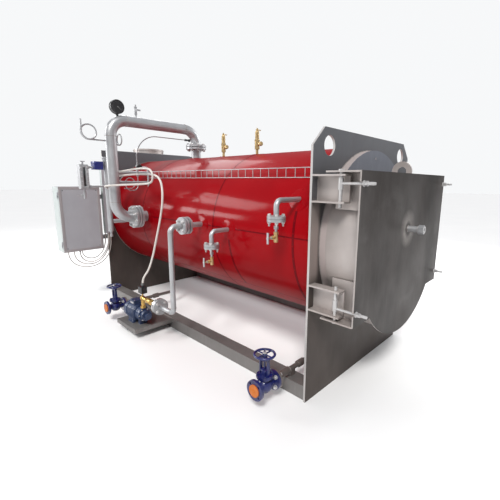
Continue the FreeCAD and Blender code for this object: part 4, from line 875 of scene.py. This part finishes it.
def blowdown_details():
    """Bonnet rims, gland followers, bolts, cap bosses and handwheel nuts of the drain valves."""
    paint, bolts, caps = Build(), Build(), Build()
    for name, x, y in BLOWDOWNS:
        paint.washer("Z", (x, y, 0), 0.0505, 0.0535, BLOW_Z + 0.0625, BLOW_Z + 0.0655, 44)
        paint.washer("Z", (x, y, 0), 0.0075, 0.0235, BLOW_Z + 0.1035, BLOW_Z + 0.111, 32)
        for reach in (-0.0905, 0.089):
            paint.washer("Y", (x, 0, BLOW_Z), 0.0415, 0.044, y + reach, y + reach + 0.0015, 48)
        for number in range(4):
            spot = polar("Z", (x, y, 0), 0.042, 45 + 90 * number)
            bolts.hexagon("Z", spot, 0.015, BLOW_Z + 0.0738, BLOW_Z + 0.083)
        for side in (-1, 1):
            bolts.hexagon("Z", (x, y + side * 0.0155, 0), 0.01, BLOW_Z + 0.1108, BLOW_Z + 0.118)
        caps.turned("Y", (x, 0, BLOW_Z), [(0.04, y - 0.0972), (0.0385, y - 0.0985), (0.0355, y - 0.0985),
                                          (0.0345, y - 0.097)], 48)
        caps.turned("Y", (x, 0, BLOW_Z), [(0.011, y - 0.0965), (0.0105, y - 0.099), (0.006, y - 0.0996),
                                          (0.001, y - 0.099)], 24)
        hub = Build()
        hub.rod("Z", (x, y, 0), 0.0145, 0.369, 0.3712, 24)
        hub.hexagon("Z", (x, y, 0), 0.018, 0.3712, 0.379)
        hub.finish("handwheel_nut_" + name, ZINC, "handwheel_" + name, "bright_steel")
    paint.finish("blowdown_rims", BLUE, slot="blue_enamel", angle=50)
    bolts.finish("blowdown_bonnet_bolts", BLUE, slot="blue_enamel")
    caps.finish("blowdown_cap_bosses", ORANGE, slot="orange_cap")


def relief_details():
    """Turned grooves, caps and lift levers of the two safety valves."""
    made = Build()
    base = AXIS_Z + SHELL
    for x in SAFETY_X:
        for low in (0.142, 0.152, 0.162, 0.172, 0.182, 0.192):
            made.washer("Z", (x, 0, 0), 0.0178, 0.0196, base + low, base + low + 0.004, 28)
        made.turned("Z", (x, 0, 0), [(0.0185, base + 0.203), (0.019, base + 0.205), (0.015, base + 0.213),
                                     (0.0125, base + 0.214)], 28)
        made.washer("Z", (x, 0, 0), 0.0218, 0.024, base + 0.095, base + 0.101, 32)
        made.rod("X", (0, 0, base + 0.096), 0.0205, x + 0.046, x + 0.05, 28)
    made.finish("safety_valve_rings", BRASS, slot="brass")


def needle_valve_details():
    made, stems = Build(), Build()
    for x, _, joint in BRANCHES:
        z = joint - 0.018 - 0.062 - 0.034
        made.washer("Y", (x, 0, z), 0.0098, 0.0125, BRANCH_OUT - 0.03, BRANCH_OUT - 0.022, 24)
        made.washer("Z", (x, BRANCH_OUT, 0), 0.0118, 0.0136, z - 0.012, z - 0.006, 24)
        stems.hexagon("Y", (x, 0, z), 0.015, BRANCH_OUT - 0.05, BRANCH_OUT - 0.042)
        stems.rod("Y", (x, 0, z), 0.0085, BRANCH_OUT - 0.0785, BRANCH_OUT - 0.0755, 16)
        stems.box((x - 0.0068, BRANCH_OUT - 0.0765, z - 0.034),
                  (x + 0.0068, BRANCH_OUT - 0.0692, z + 0.034), 0.0018)
    made.finish("needle_valve_rings", BRASS, slot="brass")
    stems.finish("needle_valve_stems", PIPE, slot="pipe_steel")


# ---- pump and motor

def motor():
    """Cooling ribs, fan cowl, terminal box lid and feet bolts of the pump's motor."""
    y, z = -0.935, 0.196
    front, rear = -1.745, -1.935
    centre, cowl = (0, y, z), (rear - 0.0018, y, z)
    ribs = Build()
    for number in range(40):
        degrees = 9 * number
        if 50.4 < degrees < 129.6 or 248.4 < degrees < 291.6:
            continue
        out, side = polar("X", (0, 0, 0), 1, degrees), polar("X", (0, 0, 0), 1, degrees + 90)
        ring = []
        for x in (rear + 0.046, front - 0.014):
            ring.append([ribs.bm.verts.new(V((x, y, z)) + out * reach + side * half) for reach, half in (
                (0.0745, -0.0016), (0.0825, -0.0009), (0.0825, 0.0009), (0.0745, 0.0016))])
        ribs.skin(ring)
    ribs.turned("X", centre, [(0.07, rear + 0.05), (0.0815, rear + 0.046), (0.0818, rear + 0.002),
                              (0.078, rear - 0.0022), (0.06, rear - 0.0034), (0.0585, rear - 0.0006)], 48)
    for radius in (0.018, 0.03, 0.042, 0.054):
        ribs.weld_ring("X", cowl, radius, 0.0014)
    for number in range(8):
        ribs.weld_line(polar("X", cowl, 0.016, 45 * number), polar("X", cowl, 0.058, 45 * number), 0.0013)
    ribs.turned("X", centre, [(0.066, front + 0.0002), (0.0735, front - 0.001), (0.0735, front - 0.01),
                              (0.066, front - 0.011)], 48)
    ribs.finish("motor_ribs_and_cowl", NAVY, slot="navy_paint", angle=40)
    lid = Build()
    lid.box((rear + 0.064, y - 0.043, 0.2965), (front - 0.038, y + 0.043, 0.3105), 0.004)
    lid.box((rear + 0.07, y - 0.0415, 0.272), (front - 0.044, y + 0.0415, 0.296), 0.003)
    lid.finish("motor_terminal_lid", NAVY, slot="navy_paint", angle=40)
    bits = Build()
    for x in (rear + 0.071, front - 0.045):
        for side in (-0.036, 0.036):
            bits.dome((x, y + side, 0.3105), (0, 0, 1), 0.0034, 0.0018)
        for side in (-0.052, 0.052):
            bits.hexagon("Z", (x, y + side, 0), 0.011, 0.112, 0.119)
            bits.rod("Z", (x, y + side, 0), 0.0085, 0.1105, 0.1122, 20)
    bits.box((rear + 0.078, y - 0.0442, 0.278), (front - 0.052, y - 0.0418, 0.292), 0.0006)
    for number in range(6):
        bits.hexagon("X", polar("X", centre, 0.054, 60 * number), 0.011, -1.6695, -1.663)
    bits.finish("pump_and_motor_screws", ZINC, slot="bright_steel")
    feet = Build()
    for side in (-1, 1):
        low, high = sorted((y + side * 0.04, y + side * 0.07))
        feet.box((rear + 0.056, low, 0.1002), (front - 0.03, high, 0.111), 0.002)
    feet.turned("X", centre, [(0.0625, front + 0.02), (0.065, front + 0.024), (0.065, front + 0.036),
                              (0.0625, front + 0.04)], 48)
    feet.turned("X", centre, [(0.0485, -1.636), (0.0505, -1.634), (0.0505, -1.628), (0.0485, -1.626)], 48)
    feet.finish("pump_feet_and_rims", NAVY, slot="navy_paint", angle=40)
    plug = Build()
    plug.hexagon("Z", (-1.715, y, 0), 0.016, 0.256, 0.266)
    plug.rod("Z", (-1.715, y, 0), 0.0095, 0.25, 0.2565)
    plug.finish("pump_priming_plug", BRASS, slot="brass")


# ---- gauge, level controls and small fittings

def gauge():
    """Bezel, dial marks and needle of the pressure gauge."""
    centre, face = (0, -0.873, 2.09), -2.088
    rim = Build()
    rim.turned("X", centre, [(0.06, face - 0.044), (0.0625, face - 0.0425), (0.0625, face - 0.0395),
                             (0.0602, face - 0.038)], 56)
    rim.washer("X", centre, 0.0535, 0.0628, face - 0.0075, face + 0.0035, 56)
    rim.washer("X", centre, 0.052, 0.0545, face - 0.0015, face + 0.0025, 56)
    rim.finish("gauge_bezel", BLACK, slot="black_plastic")
    marks = Build()
    dial, along = V((face, centre[1], centre[2])), AXES["X"][0]

    def flat(spots, low, high):
        marks.skin([[marks.bm.verts.new(spot + along * rise) for spot in spots] for rise in (low, high)])

    for number in range(28):
        degrees = -45 + 10 * number
        out, side = polar("X", (0, 0, 0), 1, degrees), polar("X", (0, 0, 0), 1, degrees + 90)
        deep, half = (0.005, 0.0005) if number % 3 == 0 else (0.0024, 0.0003)
        flat([dial + out * reach + side * wide for reach, wide in (
            (0.047, -half), (0.047, half), (0.047 - deep, half), (0.047 - deep, -half))], -0.0003, 0.0006)
    flat([dial + V((0, y, z)) for y, z in (
        (-0.0022, 0.0005), (0.0012, 0.0022), (0.03, -0.021), (0.0292, -0.0218))], 0.0014, 0.0022)
    marks.rod("X", centre, 0.0042, face + 0.001, face + 0.003, 20)
    marks.finish("gauge_marks", PALE, slot="black_plastic")


def level_gauge():
    """Cover plates, their bolts and the dark glass of the reflex level gauge."""
    x, y = -2.4, -1.115
    plates, bolts, glass = Build(), Build(), Build()
    for side in (-1, 1):
        low, high = sorted((x + side * 0.0295, x + side * 0.0365))
        for edge in (-1, 1):
            near, far = sorted((y + edge * 0.011, y + edge * 0.039))
            plates.box((low, near, 1.343), (high, far, 1.56), 0.0012)
        for near, far in ((1.343, 1.362), (1.541, 1.56)):
            plates.box((low, y - 0.012, near), (high, y + 0.012, far), 0.0012)
        span = sorted((x + side * 0.0365, x + side * 0.043))
        for number in range(5):
            for edge in (-0.026, 0.026):
                bolts.hexagon("X", (0, y + edge, 1.365 + 0.0435 * number), 0.013, *span)
        span = sorted((x + side * 0.029, x + side * 0.0325))
        glass.box((span[0], y - 0.0115, 1.361), (span[1], y + 0.0115, 1.542), 0.0008)
    plates.finish("level_gauge_covers", PIPE, slot="pipe_steel")
    bolts.finish("level_gauge_bolts", ZINC, slot="bright_steel")
    glass.finish("level_gauge_glass", GLASS, slot="black_plastic")


def switch_box():
    """Lid and screws of the level switch box, and the plugs beside the level gauge."""
    low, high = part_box("level_switch_box")
    box, screws, lip = Build(), Build(), 0.0015
    box.box((low.x - lip, low.y - lip, high.z - 0.026), (high.x + lip, high.y + lip, high.z + lip), 0.003)
    box.finish("switch_box_lid", BOX_BLUE, slot="box_blue")
    for x in (low.x + 0.009, high.x - 0.009):
        for y in (low.y + 0.009, high.y - 0.009):
            screws.dome((x, y, high.z + 0.0014), (0, 0, 1), 0.0036, 0.0016)
    for z in (1.36, 1.545):
        screws.rod("Y", (-2.4, 0, z), 0.0132, -1.056, -1.0535, 20)
    screws.finish("level_control_screws", ZINC, slot="bright_steel")


def knob_and_plug():
    """Moulded flutes on the isolating knob and the capillary's plug."""
    made = Build()
    centre = V((0, -0.653, 1.556))
    sides = 48
    along, across, over = AXES["X"]
    rings = []
    for radius, x in ((0.0245, -2.1955), (0.0285, -2.1935), (0.0285, -2.173), (0.025, -2.1695),
                      (0.015, -2.169)):
        radii = [radius * (1 + (0.035 if radius > 0.026 and step % 4 < 2 else 0)) for step in range(sides)]
        rings.append(made.ring(centre + along * x, across, over, radii))
    made.skin(rings)
    made.washer("Y", (-2.224, 0, 1.88), 0.0085, 0.0125, -0.0705, -0.06, 24)
    made.washer("Y", (-2.224, 0, 1.88), 0.0085, 0.0115, -0.048, -0.042, 24)
    made.finish("knob_flutes", BLACK, slot="black_plastic", angle=30)


def glands():
    """Moulded nuts where the conduits and cables go in."""
    made = Build()
    cord, rows = 0.009, ((0.005, 0.0005), (0.0062, 0.002), (0.0062, 0.011), (0.0038, 0.0145),
                         (0.003, 0.02), (0.0008, 0.0235))
    for axis, spot, start in (("X", (0, -0.865, 1.465), -2.216), ("X", (0, -0.865, 1.503), -2.216),
                              ("X", (0, -0.89, 1.33), -2.35), ("Z", (-1.674, -0.935, 0), 0.478)):
        made.turned(axis, spot, [(cord + wide, start + reach) for wide, reach in rows], 18)
    made.finish("conduit_glands", GLAND, slot="black_plastic", angle=30)


# ---- cabinet

def cabinet():
    """Raised frame, fasteners and seal of the cabinet's door."""
    low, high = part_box("cabinet_door")
    near, far, face = -1.21, high.y, high.x
    wide, gap, rim, screws, seal = 0.03, 0.0005, Build(), Build(), Build()
    for y, z in (((near + gap, far - gap), (low.z + gap, low.z + wide)),
                 ((near + gap, far - gap), (high.z - wide, high.z - gap)),
                 ((near + gap, near + wide), (low.z + wide, high.z - wide)),
                 ((far - wide, far - gap), (low.z + wide, high.z - wide))):
        rim.box((face - 0.0004, y[0], z[0]), (face + 0.0022, y[1], z[1]), 0.0008)
    rim.finish("cabinet_door_frame", FRAME_PAINT, "cabinet_door", "cabinet_paint")
    for y in (near + wide + 0.01, far - wide - 0.01):
        for z in (low.z + wide + 0.012, high.z - wide - 0.012):
            screws.dome((face, y, z), (1, 0, 0), 0.005, 0.0026, 16)
    screws.finish("cabinet_door_fasteners", DARK_STEEL, "cabinet_door", "bright_steel")
    inset, end = 0.008, 0.018
    for y, z in (((near + inset, near + end), (low.z + inset, high.z - inset)),
                 ((far - end, far - inset), (low.z + inset, high.z - inset)),
                 ((near + end, far - end), (low.z + inset, low.z + end)),
                 ((near + end, far - end), (high.z - end, high.z - inset))):
        seal.box((-2.9262, y[0], z[0]), (-2.923, y[1], z[1]), 0.001)
    seal.finish("cabinet_door_seal", GASKET, "cabinet_door", "black_plastic")


camera()
surroundings()
floor()
finish_nodes()
cords()
for detail in (flange_bolts, gaskets, pipe_welds, cladding, plate_welds, door_welds, door_details,
               swing_threads, blowdown_details, relief_details, needle_valve_details, motor, gauge,
               level_gauge, switch_box, knob_and_plug, glands, cabinet):
    detail()
